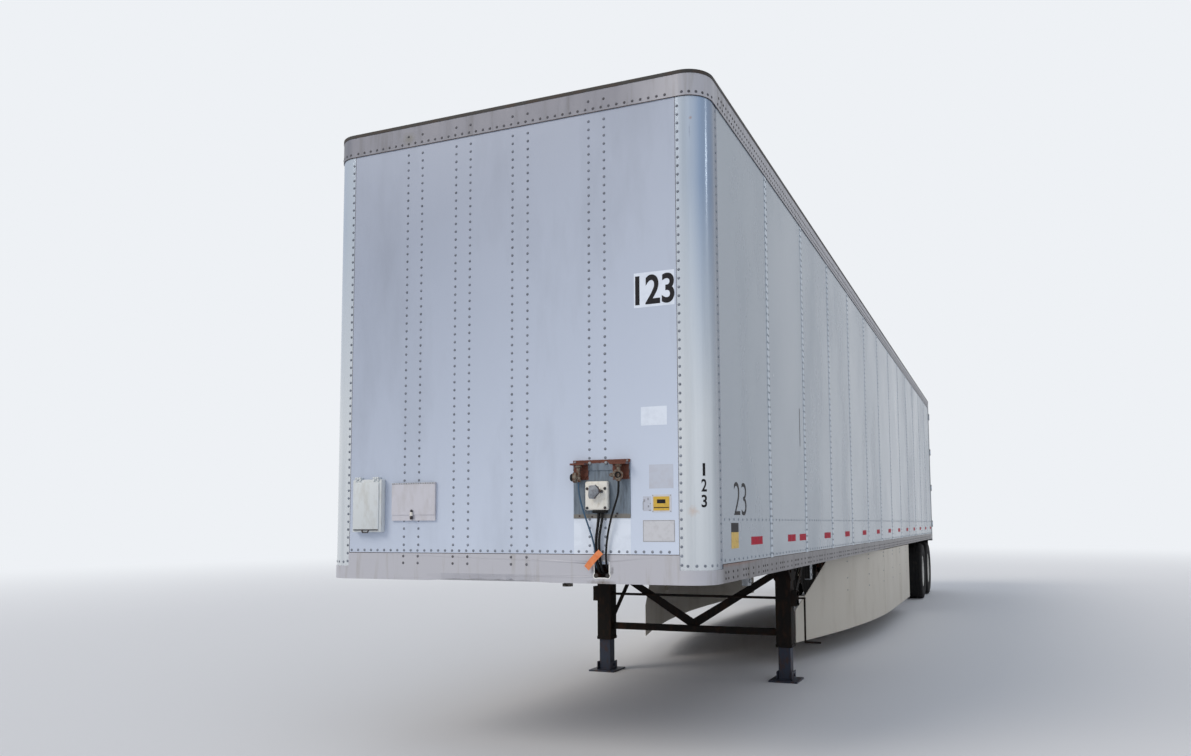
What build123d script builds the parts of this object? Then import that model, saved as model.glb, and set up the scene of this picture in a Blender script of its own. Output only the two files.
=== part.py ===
from build123d import *
import os
from math import cos, pi, radians, sin, sqrt, tan

# A 53-foot dry van semi trailer, parked on its landing legs.
# Millimetres. +Z up, the front wall faces -Y, +X is the roadside (the driver's left).
# The origin is on the ground under the middle of the body.

os.makedirs("parts", exist_ok=True)

# Body
body_length = 16154
body_width = 2590
body_height = 2920
body_bottom = 1080  # parked with the air springs let down
corner_radius = 160
corner_wrap = 75  # how far a corner cover runs past its bend, along the side
corner_lap = 20  # how far it runs past its bend, along the front
corner_cover_foot = 80  # lowest edge of the corner covers above the rails' underside

# Thicknesses
rail_skin = 4  # rail flanges lap over the plates
side_wall = 12
front_wall_depth = 45
roof_sheet_depth = 4
floor_depth = 28
door_depth = 38
skirt_sheet = 5
plate_steel = 8

# Rails
top_rail_height = 152
side_rail_height = 105
front_rail_height = 163
rail_web_height = 38
rail_ledge = 40
rail_return = 60
ledge_depth = 8

# Wall plates and their joints
plate_pitch = 1220
first_joint = 1430
joint_gap = 2
joint_post_width = 60
joint_post_depth = 8

# Floor
beam_height = 102
beam_flange = 64
beam_flange_depth = 6
beam_web = 5
beam_pitch = 305
first_beam = 150
nose_beam_inset = 70  # the first cross members end inside the front corners

# Roof bows
bow_pitch = 610
first_bow = 400
bow_width = 40
bow_depth = 29

# Coupler and kingpin
kingpin_setback = 914
kingpin_neck_radius = 25.4
kingpin_flange_radius = 35.7
kingpin_shoulder_radius = 36.5
kingpin_base_radius = 100
kingpin_shoulder_drop = 35
kingpin_neck_drop = 65
kingpin_drop = 84
kingpin_hole_clearance = 0.4
coupler_length = 1400
coupler_inset = 80
coupler_start = 84

# Landing gear
leg_setback = 3650
leg_inset = 415  # centre of a leg inside the body's side
leg_housing = 140
leg_ram = 110
leg_housing_foot = 300
foot_length = 300
foot_width = 260
foot_depth = 14
leg_beam_height = 430
leg_brace = 60
leg_strut_reach = 980
leg_wing_drop = 190
gearbox_depth = 50
gearbox_half = 70
crank_height = 740
crank_rod = 9
crank_out = 70
crank_drop = 400
crank_grip = 130
cross_shaft = 12

# Rear frame and doors
rear_frame_depth = 124
rear_frame_recess = 6
rear_post_width = 70
header_height = 160
sill_drop = 40
door_gap = 6
door_meeting_gap = 4  # from the middle of the trailer to each door
hinge_pin_out = 5  # pin outside the body's side
hinge_pin_back = 12  # pin behind the body's rear face
hinge_pin_radius = 7
hinge_clearance = 0.3
hinge_knuckle_radius = 11
hinge_strap = 8
hinge_strap_height = 76
hinge_strap_length = 190
lock_rod_radius = 13
lock_rod_standoff = 22

# Running gear
axle_spacing = 1245
rear_axle_ahead = 1150  # rear axle ahead of the body's rear face
tyre_radius = 510
tyre_width = 286
tyre_tread = 236
tyre_shoulder = 410  # radius where the tyre is widest
tyre_bead = 300
bead_half = 112
rim_radius = 285
rim_width = 234
twin_spacing = 343
tyre_inset = 2  # tyres inside the body's side
tyre_clearance = 0.4
spindle_radius = 40
spindle_clearance = 0.4
axle_radius = 63.5
wheel_hub_radius = 118
wheel_sides = 36  # flats round a tyre and its wheel, one of them on the ground
rim_sheet = 13
disc_depth = 17
drum_radius = 205
drum_depth = 190
brake_chamber_radius = 65
brake_chamber_inset = 106  # its middle inside the inner wheel
brake_bracket = 24
tank_radius = 120
tank_length = 580

# Slider
slide_travel = 2030
frame_rail_to_wheel = 196
frame_rail_width = 94
frame_rail_height = 82
bogie_overhangs = (860, 620)  # ahead of the front axle, behind the rear one
slider_lead = 120
slider_tail = 200
slider_flange = 56
running_gap = 6
slide_seat_gap = 0.3
slide_pad_inset = 12
body_slide_rail_depth = 80

# Service plate on the front wall: spans across from its own middle and up from the rails' underside
service_inset = 644  # its middle inside the roadside
service_plate = ((-176, 176), (370, 703))
service_strip_height = 60
socket_box = ((-91, 51), (415, 580))
line_hole = ((-45, 43), (33, 126))
line_hole_corner = 18
brackets = ((-172, -81), (72, 171))
bracket_low = 590
bracket_depth = 56
bracket_sheet = 10
bracket_corner = 26
couplings = ((-127, -1), (121, 1))  # place across, and the way its face looks
coupling_stem = 13
coupling_head = 28

# Boxes on the front wall, across from the curbside
document_box = ((238, 456), (294, 626))
permit_frame = ((514, 834), (364, 590))
permit_strip = 36

# Side skirts
skirt_front = 4500
skirt_tangent = 8450
skirt_rear = 11000
skirt_inset = 12
skirt_flare = 483
skirt_drop = 845
skirt_strut_low = 380
skirt_strut_reach = 300
skirt_strut_width = 40
skirt_top_gap = 12
skirt_slant = (900, 520)  # cut off the top front corner, along and down

# Mud flaps, underride guard and lamps
flap_inset = 60
flap_width = 585
flap_ground = 320
flap_sheet = 8
guard_bar = 100
guard_height = 480
guard_inset = 145
guard_posts = (430, 530)
stop_lamp_insets = (215, 475)
stop_lamp_radius = 52
marker_inset = 145
marker_pitch = 150
marker_size = (64, 24)
lamp_depth = 10

half = body_width / 2
front = -body_length / 2
rear = body_length / 2
roof_top = body_bottom + body_height
plate_face = half - rail_skin
plate_back = plate_face - side_wall
wall_face = front + rail_skin
wall_back = wall_face + front_wall_depth
corner_x = half - corner_radius  # where the front's bend starts
corner_y = front + corner_radius
corner_edge = corner_x - corner_lap
side_start = corner_y + corner_wrap
beam_bottom = body_bottom + ledge_depth
beam_top = beam_bottom + beam_height
floor_top = beam_top + floor_depth
roof_under = roof_top - roof_sheet_depth
return_under = roof_under - rail_skin
frame_front = rear - rear_frame_recess - rear_frame_depth
frame_back = rear - rear_frame_recess
post_inner = half - rear_post_width
header_bottom = roof_top - header_height
hinge_pin = (half + hinge_pin_out, rear + hinge_pin_back)
service_middle = half - service_inset
leg_spread = half - leg_inset
coupler_half = half - coupler_inset
nose_beam_half = half - nose_beam_inset
skirt_rear_x = half - skirt_inset
skirt_front_x = skirt_rear_x - skirt_flare
sides = (1, -1)

# Running gear across the trailer, from the outer tyre inwards
wheel_outer = half - tyre_width / 2 - tyre_inset
wheel_inner = wheel_outer - twin_spacing
wheel_back = wheel_inner - rim_width / 2
axle_tube_half = wheel_back - running_gap
brake_x = wheel_back - brake_chamber_inset
frame_rail_outer = wheel_back - frame_rail_to_wheel
frame_rail_inner = frame_rail_outer - frame_rail_width


def bar(x, y, z, mode=Mode.ADD):
    """A rectangular bar between two values on each axis."""
    with Locations(((x[0] + x[1]) / 2, (y[0] + y[1]) / 2, (z[0] + z[1]) / 2)):
        Box(x[1] - x[0], y[1] - y[0], z[1] - z[0], mode=mode)


def rod(start, end, radius, flats=0, mode=Mode.ADD):
    """A rod between two points, round or with a number of flats."""
    a, b = Vector(*start), Vector(*end)
    with BuildSketch(Plane(origin=a, z_dir=b - a)) as section:
        if flats:
            RegularPolygon(radius, flats)
        else:
            Circle(radius)
    extrude(section.sketch, amount=(b - a).length, mode=mode)


def turned(centre, axis, outline, flats, closed=False):
    """A turned form with flats, from the (along, radius) pairs of its outline; a closed one is a ring."""
    plane = Plane(origin=centre, z_dir=axis)
    angles = [2 * pi * (step + 0.5) / flats for step in range(flats)]
    rings = []
    for along, radius in outline:
        reach = radius / cos(pi / flats)
        rings.append([plane.from_local_coords((reach * cos(a), reach * sin(a), along)) for a in angles])
    pairs = list(zip(rings[:-1], rings[1:]))
    panels = []
    if closed:
        pairs.append((rings[-1], rings[0]))
    else:
        panels += [Face(Wire.make_polygon(ring)) for ring in (rings[0], rings[-1])]
    for near, far in pairs:
        for step in range(flats):
            corners = (near[step], near[step - 1], far[step - 1], far[step])
            panels.append(Face(Wire.make_polygon(corners)))
    add(Solid(Shell(panels)))


def spans(table, middle):
    """A table's two spans in the model: across from a middle, and up from the rails' underside."""
    return [middle + x for x in table[0]], [body_bottom + z for z in table[1]]


def prism(plane, points, depth, mode=Mode.ADD):
    """A flat polygon pushed through a depth."""
    with BuildSketch(plane) as section:
        with BuildLine():
            Polyline(*points, close=True)
        make_face()
    extrude(section.sketch, amount=depth, mode=mode)


def row(centres, size):
    """Equal bars at a list of centres."""
    with Locations(*centres):
        Box(*size)


def save(solid, name):
    """Names a finished piece and writes it to its own file."""
    solid.label = name
    export_step(solid, f"parts/{name}.step")


def corner_bend(outer, inner, low, high):
    """A quarter bend round the front roadside corner, with its two laps."""
    with BuildSketch(Plane.XY.offset(low)) as section:
        with BuildLine():
            near = front + corner_radius - outer
            far = front + corner_radius - inner
            Line((corner_edge, near), (corner_x, near))
            RadiusArc((corner_x, near), (corner_x + outer, corner_y), -outer)
            Line((corner_x + outer, corner_y), (corner_x + outer, side_start))
            Line((corner_x + outer, side_start), (corner_x + inner, side_start))
            Line((corner_x + inner, side_start), (corner_x + inner, corner_y))
            RadiusArc((corner_x + inner, corner_y), (corner_x, far), inner)
            Line((corner_x, far), (corner_edge, far))
            Line((corner_edge, far), (corner_edge, near))
        make_face()
    extrude(section.sketch, amount=high - low)


# Floor boards inside the walls, with rounded front corners
floor_bend = corner_radius - rail_skin - front_wall_depth - running_gap
floor_half = corner_x + floor_bend
floor_start = corner_y - floor_bend
with BuildPart() as floor_boards:
    with BuildSketch(Plane.XY.offset(beam_top)) as floor_outline:
        with Locations((0, (floor_start + frame_front) / 2)):
            Rectangle(2 * floor_half, frame_front - floor_start)
        fillet(floor_outline.vertices().group_by(Axis.Y)[0], floor_bend)
    extrude(amount=floor_depth)
save(floor_boards.part, "floor_boards")

# Cross members, I-beams under the floor
beam_count = int((frame_front - beam_flange / 2 - front - first_beam) // beam_pitch) + 1
beam_places = [front + first_beam + beam_pitch * i for i in range(beam_count)]
nose_beams = [y for y in beam_places if y < side_start + beam_flange / 2]
long_beams = beam_places[len(nose_beams) :]
web_middle = (beam_bottom + beam_top) / 2

with BuildPart() as crossmembers:
    for places, reach in ((nose_beams, nose_beam_half), (long_beams, plate_back)):
        for flange_middle in (beam_bottom + beam_flange_depth / 2, beam_top - beam_flange_depth / 2):
            row([(0, y, flange_middle) for y in places], (2 * reach, beam_flange, beam_flange_depth))
        row([(0, y, web_middle) for y in places], (2 * reach, beam_web, beam_height - beam_flange_depth))
save(crossmembers.part, "crossmembers")

# Side wall plates, one solid for each 48-inch plate
joint_count = int((frame_front - front - first_joint) // plate_pitch) + 1
joints = [front + first_joint + plate_pitch * i for i in range(joint_count)]
plate_low = body_bottom + rail_web_height
plate_high = roof_top - 30

plate_middle = (plate_low + plate_high) / 2
for side, name in zip(sides, ("side_plates_roadside", "side_plates_curbside")):
    plate_x = side * (plate_back + plate_face) / 2
    with BuildPart() as side_plates:
        row(
            [(plate_x, (near + far) / 2, plate_middle) for near, far in zip(joints[:-1], joints[1:])],
            (side_wall, plate_pitch - joint_gap, plate_high - plate_low),
        )
        for near, far in ((side_start, joints[0] - joint_gap / 2), (joints[-1] + joint_gap / 2, frame_front)):
            row([(plate_x, (near + far) / 2, plate_middle)], (side_wall, far - near, plate_high - plate_low))
    save(side_plates.part, name)

# Posts behind the joints of the wall plates
post_top = roof_top - 110
with BuildPart() as wall_joint_posts:
    post_x = plate_back - joint_post_depth / 2
    row(
        [(side * post_x, y, (floor_top + post_top) / 2) for side in sides for y in joints],
        (joint_post_depth, joint_post_width, post_top - floor_top),
    )
save(wall_joint_posts.part, "wall_joint_posts")

# Front wall between the corner covers
with BuildPart() as front_wall:
    bar((-corner_edge, corner_edge), (wall_face, wall_back), (beam_top, return_under))
save(front_wall.part, "front_wall")

# Rounded corner covers: deep above the floor, a thin apron in front of it
with BuildPart() as front_corners:
    cover_outer = corner_radius - rail_skin
    corner_bend(cover_outer, cover_outer - front_wall_depth, beam_top, return_under)
    corner_bend(cover_outer, cover_outer - side_wall, body_bottom + corner_cover_foot, beam_top)
    mirror(about=Plane.YZ)
save(front_corners.part, "front_corners")

# Bent corner pieces of the top and bottom rails
with BuildPart() as rail_corners:
    corner_bend(corner_radius, corner_radius - rail_skin, roof_top - top_rail_height, roof_under)
    corner_bend(corner_radius, corner_radius - rail_return, return_under, roof_under)
    corner_bend(corner_radius, corner_radius - rail_skin - side_wall, body_bottom, body_bottom + corner_cover_foot)
    mirror(about=Plane.YZ)
save(rail_corners.part, "rail_corners")

# Straight front rails, with the hole for the lines in the lower one
hole_x, hole_z = spans(line_hole, service_middle)
with BuildPart() as front_rails:
    rail_span = (-corner_edge, corner_edge)
    bar(rail_span, (front, wall_face), (roof_top - top_rail_height, roof_under))
    bar(rail_span, (front, front + rail_return), (return_under, roof_under))
    bar(rail_span, (front, wall_face), (body_bottom, body_bottom + front_rail_height))
    bar(rail_span, (front, front + rail_return), (body_bottom, body_bottom + 6))
    bar(rail_span, (front, front + rail_return), (beam_top - 6, beam_top))
    with BuildSketch(Plane.XZ.offset(-front)):
        with Locations(((hole_x[0] + hole_x[1]) / 2, (hole_z[0] + hole_z[1]) / 2)):
            RectangleRounded(hole_x[1] - hole_x[0], hole_z[1] - hole_z[0], line_hole_corner)
    extrude(amount=-2 * rail_return, mode=Mode.SUBTRACT)
save(front_rails.part, "front_rails")

# Side rails, top and bottom, and the shelf that closes the floor's edge
with BuildPart() as side_rails:
    run = (side_start, frame_front)
    bar((plate_face, half), run, (roof_top - top_rail_height, roof_under))
    bar((half - rail_return, half), run, (return_under, roof_under))
    bar((plate_back - rail_skin, plate_back), run, (roof_top - 100, return_under))
    bar((plate_face, half), run, (body_bottom, body_bottom + side_rail_height))
    bar((plate_back, plate_face), run, (body_bottom, plate_low))
    bar((plate_back - rail_ledge, plate_back), run, (body_bottom, beam_bottom))
    bar((floor_half, plate_back), run, (beam_top, floor_top))
    mirror(about=Plane.YZ)
save(side_rails.part, "side_rails")

# Roof sheet and the bows under it
with BuildPart() as roof_sheet:
    with BuildSketch(Plane.XY.offset(roof_under)) as roof_outline:
        Rectangle(body_width, body_length)
        fillet(roof_outline.vertices().group_by(Axis.Y)[0], corner_radius)
    extrude(amount=roof_sheet_depth)
save(roof_sheet.part, "roof_sheet")

bow_count = int((frame_front - front - first_bow) // bow_pitch) + 1
bow_places = [front + first_bow + bow_pitch * i for i in range(bow_count)]
bow_reach = plate_back - rail_skin
bow_low = roof_under - bow_depth
with BuildPart() as roof_bows:
    row([(0, y, (bow_low + return_under) / 2) for y in bow_places], (2 * bow_reach, bow_width, return_under - bow_low))
    row(
        [(0, y, (return_under + roof_under) / 2) for y in bow_places],
        (2 * (half - rail_return), bow_width, roof_under - return_under),
    )
save(roof_bows.part, "roof_bows")

# Rear frame: posts with their hinge lugs and pins
door_low = floor_top + door_gap
door_high = header_bottom - door_gap
hinge_count = 4
hinge_places = [door_low + 170 + (door_high - door_low - 340) * i / (hinge_count - 1) for i in range(hinge_count)]
lug_height = 24

with BuildPart() as rear_posts:
    bar((post_inner, half), (frame_front, frame_back), (body_bottom - sill_drop, roof_under))
    for place in hinge_places:
        for above in sides:
            low = place + above * (hinge_strap_height / 2 + 2 + lug_height / 2) - lug_height / 2
            pin_x, pin_y = hinge_pin
            bar((half - 16, pin_x + hinge_knuckle_radius), (frame_back - 24, pin_y), (low, low + lug_height))
            rod((pin_x, pin_y, low), (pin_x, pin_y, low + lug_height), hinge_knuckle_radius, flats=12)
        pin_half = hinge_strap_height / 2 + 2 + lug_height
        rod((*hinge_pin, place - pin_half), (*hinge_pin, place + pin_half), hinge_pin_radius)
    mirror(about=Plane.YZ)
save(rear_posts.part, "rear_posts")

# Header and sill, each with open keepers for the lock rods
lock_rods = (380, 930)
keeper_gap = 6
keeper_cheek = 8
cam_half = 26


def keepers(low, high):
    """Pairs of cheeks either side of each lock rod's cam."""
    for place in lock_rods:
        for side in sides:
            for cheek in sides:
                near = side * place + cheek * (cam_half + keeper_gap)
                far = near + cheek * keeper_cheek
                bar(sorted((near, far)), (frame_back, rear + 30), (low, high))


with BuildPart() as rear_rails:
    bar((-post_inner, post_inner), (frame_front, frame_back), (header_bottom, roof_under))
    keepers(header_bottom + 6, header_bottom + 56)
    bar((-post_inner, post_inner), (frame_front, frame_back), (body_bottom - sill_drop, floor_top))
    keepers(floor_top - 56, floor_top - 6)
save(rear_rails.part, "rear_rails")

# Rear lamps: two stop lamps each side in the sill, marker lamps in the header
lamp_line = body_bottom + (floor_top - body_bottom - sill_drop) / 5
marker_line = roof_top - header_height * 0.28
with BuildPart() as rear_lamps:
    with BuildSketch(Plane.XZ.offset(-frame_back)):
        with Locations(*[(side * (half - x), lamp_line) for x in stop_lamp_insets for side in sides]):
            Circle(stop_lamp_radius)
        marker_half = half - marker_inset
        with Locations(*[(x, marker_line) for x in (-marker_half, -marker_pitch, 0, marker_pitch, marker_half)]):
            Rectangle(*marker_size)
    extrude(amount=-lamp_depth)
save(rear_lamps.part, "rear_lamps")

# Doors, with their hinge straps and knuckles
for side, name in zip(sides, ("door_roadside", "door_curbside")):
    with BuildPart() as door:
        door_edge = post_inner - door_gap
        bar((door_meeting_gap, door_edge), (rear - door_depth, rear), (door_low, door_high))
        pin_x, pin_y = hinge_pin
        for place in hinge_places:
            strap = (place - hinge_strap_height / 2, place + hinge_strap_height / 2)
            bar((pin_x - hinge_strap_length - 10, pin_x), (rear, rear + hinge_strap), strap)
            rod((pin_x, pin_y, strap[0]), (pin_x, pin_y, strap[1]), hinge_knuckle_radius)
            rod(
                (pin_x, pin_y, strap[0]),
                (pin_x, pin_y, strap[1]),
                hinge_pin_radius + hinge_clearance,
                mode=Mode.SUBTRACT,
            )
    leaf = door.part if side > 0 else door.part.mirror(Plane.YZ)
    save(leaf, name)

# Lock rods with their guides, cams and handles, which stay shut
handle_height = body_bottom + 420
rod_y = rear + lock_rod_standoff
with BuildPart() as lock_gear:
    for place in lock_rods:
        rod((place, rod_y, floor_top - 50), (place, rod_y, header_bottom + 50), lock_rod_radius, flats=10)
        for low in (floor_top - 46, header_bottom + 16):
            bar((place - cam_half, place + cam_half), (rod_y - 10, rod_y + 10), (low, low + 30))
        for share in (0.04, 0.35, 0.65, 0.96):
            low = door_low + share * (door_high - door_low) - 25
            bar((place - 30, place + 30), (rear, rod_y), (low, low + 50))
        bar((place - 330, place), (rod_y + 6, rod_y + 14), (handle_height - 18, handle_height + 18))
        bar((place - 330, place - 290), (rear, rod_y + 6), (handle_height - 30, handle_height + 30))
for side, name in zip(sides, ("lock_gear_roadside", "lock_gear_curbside")):
    gear = lock_gear.part if side > 0 else lock_gear.part.mirror(Plane.YZ)
    save(gear, name)

# Upper coupler: bolster plate with its front web, round the kingpin
kingpin_y = front + kingpin_setback
with BuildPart() as upper_coupler:
    coupler_front = front + coupler_start
    bar((-coupler_half, coupler_half), (coupler_front, coupler_front + coupler_length), (body_bottom, beam_bottom))
    bar((-coupler_half, coupler_half), (coupler_front, coupler_front + plate_steel), (beam_bottom, beam_top))
    with Locations((0, kingpin_y, body_bottom)):
        Cylinder(kingpin_shoulder_radius + kingpin_hole_clearance, 4 * plate_steel, mode=Mode.SUBTRACT)
save(upper_coupler.part, "upper_coupler")

with BuildPart() as kingpin:
    with BuildSketch(Plane(origin=(0, kingpin_y, body_bottom), x_dir=(1, 0, 0), z_dir=(0, -1, 0))):
        with BuildLine():
            Polyline(
                (0, beam_bottom - body_bottom + 16),
                (kingpin_base_radius, beam_bottom - body_bottom + 16),
                (kingpin_base_radius, beam_bottom - body_bottom),
                (kingpin_shoulder_radius, beam_bottom - body_bottom),
                (kingpin_shoulder_radius, -kingpin_shoulder_drop),
                (kingpin_neck_radius, -kingpin_shoulder_drop),
                (kingpin_neck_radius, -kingpin_neck_drop),
                (kingpin_flange_radius, -kingpin_neck_drop),
                (kingpin_flange_radius, -kingpin_drop),
                (0, -kingpin_drop),
                close=True,
            )
        make_face()
    revolve(axis=Axis((0, kingpin_y, 0), (0, 0, 1)))
save(kingpin.part, "kingpin")

# Landing gear: housings hung from the cross members
leg_y = front + leg_setback
housing_out = leg_spread + leg_housing / 2
housing_in = leg_spread - leg_housing / 2
with BuildPart() as leg_housings:
    bar((housing_in, housing_out), (leg_y - leg_housing / 2, leg_y + leg_housing / 2), (leg_housing_foot, beam_bottom))
    leg_mount_reach = beam_pitch / 2 + beam_flange
    for wing in (housing_in - plate_steel, housing_out):
        prism(
            Plane.YZ.offset(wing),
            (
                (leg_y - leg_mount_reach, beam_bottom),
                (leg_y + leg_mount_reach, beam_bottom),
                (leg_y + leg_mount_reach, beam_bottom - leg_wing_drop / 3),
                (leg_y + leg_housing / 2, beam_bottom - leg_wing_drop),
                (leg_y - leg_housing / 2, beam_bottom - leg_wing_drop),
                (leg_y - leg_mount_reach, beam_bottom - leg_wing_drop / 3),
            ),
            plate_steel,
        )
    gearbox_z = (crank_height - gearbox_half, crank_height + gearbox_half)
    bar((housing_out, housing_out + gearbox_depth), (leg_y - gearbox_half + 10, leg_y + gearbox_half - 20), gearbox_z)
    ram_hole = leg_ram / 2 + 1
    bar(
        (leg_spread - ram_hole, leg_spread + ram_hole),
        (leg_y - ram_hole, leg_y + ram_hole),
        (leg_housing_foot, leg_housing_foot + 60),
        mode=Mode.SUBTRACT,
    )
    mirror(about=Plane.YZ)
save(leg_housings.part, "leg_housings")

with BuildPart() as leg_rams:
    ram_half = leg_ram / 2
    ram_x = (leg_spread - ram_half, leg_spread + ram_half)
    bar(ram_x, (leg_y - ram_half, leg_y + ram_half), (foot_depth, leg_housing_foot + 60))
    bar(
        (leg_spread - foot_width / 2, leg_spread + foot_width / 2),
        (leg_y - foot_length / 2, leg_y + foot_length / 2),
        (0, foot_depth),
    )
    mirror(about=Plane.YZ)
save(leg_rams.part, "leg_rams")

# Braces: a beam between the legs, a V above it and a strut behind each leg
with BuildPart() as leg_braces:
    bar(
        (-housing_in, housing_in),
        (leg_y - leg_brace / 2, leg_y + leg_brace / 2),
        (leg_beam_height - leg_brace / 2, leg_beam_height + leg_brace / 2),
    )
    brace_top = beam_bottom - 90
    beam_upper = leg_beam_height + leg_brace / 2
    brace_end = housing_in - plate_steel
    prism(
        Plane.XZ.offset(-(leg_y + leg_brace / 2 - 8)),
        (
            (-60, beam_upper),
            (60, beam_upper),
            (brace_end, brace_top - 70),
            (brace_end, brace_top),
            (0, beam_upper + 60),
            (-brace_end, brace_top),
            (-brace_end, brace_top - 70),
        ),
        -8,
    )
save(leg_braces.part, "leg_braces")

with BuildPart() as leg_struts:
    strut_back = leg_y + leg_strut_reach
    prism(
        Plane.YZ.offset(leg_spread - 4),
        (
            (leg_y + leg_housing / 2, leg_beam_height - 35),
            (leg_y + leg_housing / 2, leg_beam_height + 35),
            (strut_back - 110, beam_bottom),
            (strut_back, beam_bottom),
        ),
        8,
    )
    mirror(about=Plane.YZ)
save(leg_struts.part, "leg_struts")

# Cross shaft between the gearboxes, and the crank handle hanging on the roadside
with BuildPart() as leg_crank:
    shaft_y = leg_y - leg_housing / 5
    rod((-housing_in, shaft_y, crank_height), (housing_in, shaft_y, crank_height), cross_shaft, flats=10)
    crank_start = housing_out + gearbox_depth
    handle_x = crank_start + crank_out
    arm_x = handle_x - crank_rod
    grip_z = crank_height - crank_drop + crank_rod
    rod((crank_start, leg_y, crank_height), (handle_x, leg_y, crank_height), crank_rod, flats=8)
    rod((arm_x, leg_y, crank_height + crank_rod), (arm_x, leg_y, crank_height - crank_drop), crank_rod, flats=8)
    rod((arm_x - crank_rod, leg_y, grip_z), (handle_x + crank_grip, leg_y, grip_z), crank_rod, flats=8)
save(leg_crank.part, "leg_crank")

# Service plate: steel plate, a rusty angle across its top and a bracket for each coupling
plate_x, plate_z = spans(service_plate, service_middle)
strip_face = front - 6
bracket_face = strip_face - bracket_depth
bracket_top = plate_z[1] - 2 * bracket_sheet
with BuildPart() as service_plate_solid:
    bar(plate_x, (front, wall_face), plate_z)
    bar(plate_x, (strip_face, front), (plate_z[1] - service_strip_height, plate_z[1]))
    for bracket in brackets:
        bracket_x = [service_middle + x for x in bracket]
        low = body_bottom + bracket_low
        prism(
            Plane.XZ.offset(-front),
            (
                (bracket_x[0], bracket_top),
                (bracket_x[1], bracket_top),
                (bracket_x[1], low + bracket_corner),
                (bracket_x[1] - bracket_corner, low),
                (bracket_x[0] + bracket_corner, low),
                (bracket_x[0], low + bracket_corner),
            ),
            front - strip_face,
        )
        bar(bracket_x, (bracket_face, strip_face), (bracket_top - bracket_sheet, bracket_top))
save(service_plate_solid.part, "service_plate")

# Seven-pin socket box with its sprung lid
box_x, box_z = spans(socket_box, service_middle)
socket_face = front - 34
socket_lid = front - 64
with BuildPart() as service_socket:
    bar(box_x, (socket_face, front), box_z)
    lid_x, lid_z = (box_x[0] + box_x[1]) / 2, box_z[1] - 62
    rod((lid_x, socket_face, lid_z), (lid_x, socket_lid, lid_z), 34)
    bar((lid_x - 32, lid_x + 32), (socket_lid - 10, socket_lid), (lid_z - 40, lid_z + 40))
save(service_socket.part, "service_socket")

# Air couplings hanging from their brackets
coupling_top = bracket_top - bracket_sheet
coupling_y = front - 40
with BuildPart() as air_couplings:
    for place, face in couplings:
        x = service_middle + place
        head_z = coupling_top - 55
        rod((x, coupling_y, coupling_top), (x, coupling_y, coupling_top - 96), coupling_stem, flats=6)
        rod((x - 16 * face, coupling_y, head_z), (x + 30 * face, coupling_y, head_z), coupling_head)
save(air_couplings.part, "air_couplings")

# Lines from the couplings and the box down into the hole of the front rail, each with its radius and route.
# A route lists x, y and z: x from the service plate's middle, y from the front face, z from the rails' underside.
line_flats = 6
line_in = coupler_start
lines = {
    "line_supply": (
        5,
        (
            (-127, -40, 577), (-127, -40, 535), (-120, -34, 480), (-99, -28, 400), (-71, -22, 320), (-48, -14, 245),
            (-37, -7, 176), (-35, -7, 120), (-35, 1, 100), (-35, 17, 84), (-35, 37, 76), (-35, line_in, 76),
        ),
    ),
    "line_service": (
        6,
        (
            (121, -40, 577), (121, -40, 538), (113, -34, 490), (87, -30, 425), (63, -26, 350), (44, -20, 275),
            (34, -16, 205), (31, -16, 148), (30, -6, 104), (29, 24, 78), (28, 56, 72), (28, line_in, 72),
        ),
    ),
    "harness_main": (
        8,
        (
            (-11, -17, 415), (-11, -17, 375), (-17, -20, 320), (-26, -22, 255), (-26, -20, 190), (-22, -18, 130),
            (-21, -4, 84), (-21, 32, 58), (-21, line_in, 58),
        ),
    ),
    "harness_spare": (
        7,
        (
            (13, -17, 415), (13, -17, 375), (2, -20, 320), (-8, -22, 255), (-8, -20, 190), (-3, -18, 130),
            (1, -4, 84), (4, 32, 56), (4, line_in, 56),
        ),
    ),
}


def corner_radii(points):
    """The radius of each corner of a route: 0.45 of the shorter run over the tangent of half the turn."""
    radii = []
    for a, b, c in zip(points[:-2], points[1:-1], points[2:]):
        first, second = b - a, c - b
        turn = first.get_angle(second)
        radii.append(0.45 * min(first.length, second.length) / tan(radians(turn) / 2))
    return radii


for name, (radius, points) in lines.items():
    route = [Vector(service_middle + x, front + y, body_bottom + z) for x, y, z in points]
    radii = corner_radii(route)
    print(name, "radii", [round(r) for r in radii])
    with BuildPart() as line:
        with BuildLine() as path:
            FilletPolyline(*route, radius=radii)
        with BuildSketch(Plane(origin=route[0], z_dir=route[1] - route[0])) as section:
            RegularPolygon(radius, line_flats)
        sweep()
    length = path.wires()[0].length
    print(name, "length", round(length), "volume", round(line.part.volume), "of", round(section.sketch.area * length))
    save(line.part, name)

# Document box on the front wall: an open tray and its lid, hinged along the top
tray_depth = 40
tray_wall = 4
box_x, box_z = spans(document_box, -half)
tray_face = wall_face - tray_depth
lid_gap = 0.5
lid_depth = 12
lid_flange = 4
pan_inset = 14
lid_pin = (tray_face - 8, box_z[1] + 8)
lid_pin_radius = 3
lid_knuckle_radius = 6
lug_width = 22
lug_inset = 40
with BuildPart() as document_tray:
    bar(box_x, (tray_face, wall_face), box_z)
    bar(
        (box_x[0] + tray_wall, box_x[1] - tray_wall),
        (tray_face, wall_face - tray_wall),
        (box_z[0] + tray_wall, box_z[1] - tray_wall),
        mode=Mode.SUBTRACT,
    )
    for inset in (box_x[0] + lug_inset, box_x[1] - lug_inset):
        bar((inset - 6, inset + 6), (lid_pin[0] - 6, wall_face), (box_z[1], lid_pin[1] + 6))
        rod((inset - lug_width, *lid_pin), (inset + lug_width, *lid_pin), lid_pin_radius)
save(document_tray.part, "document_box")

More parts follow.
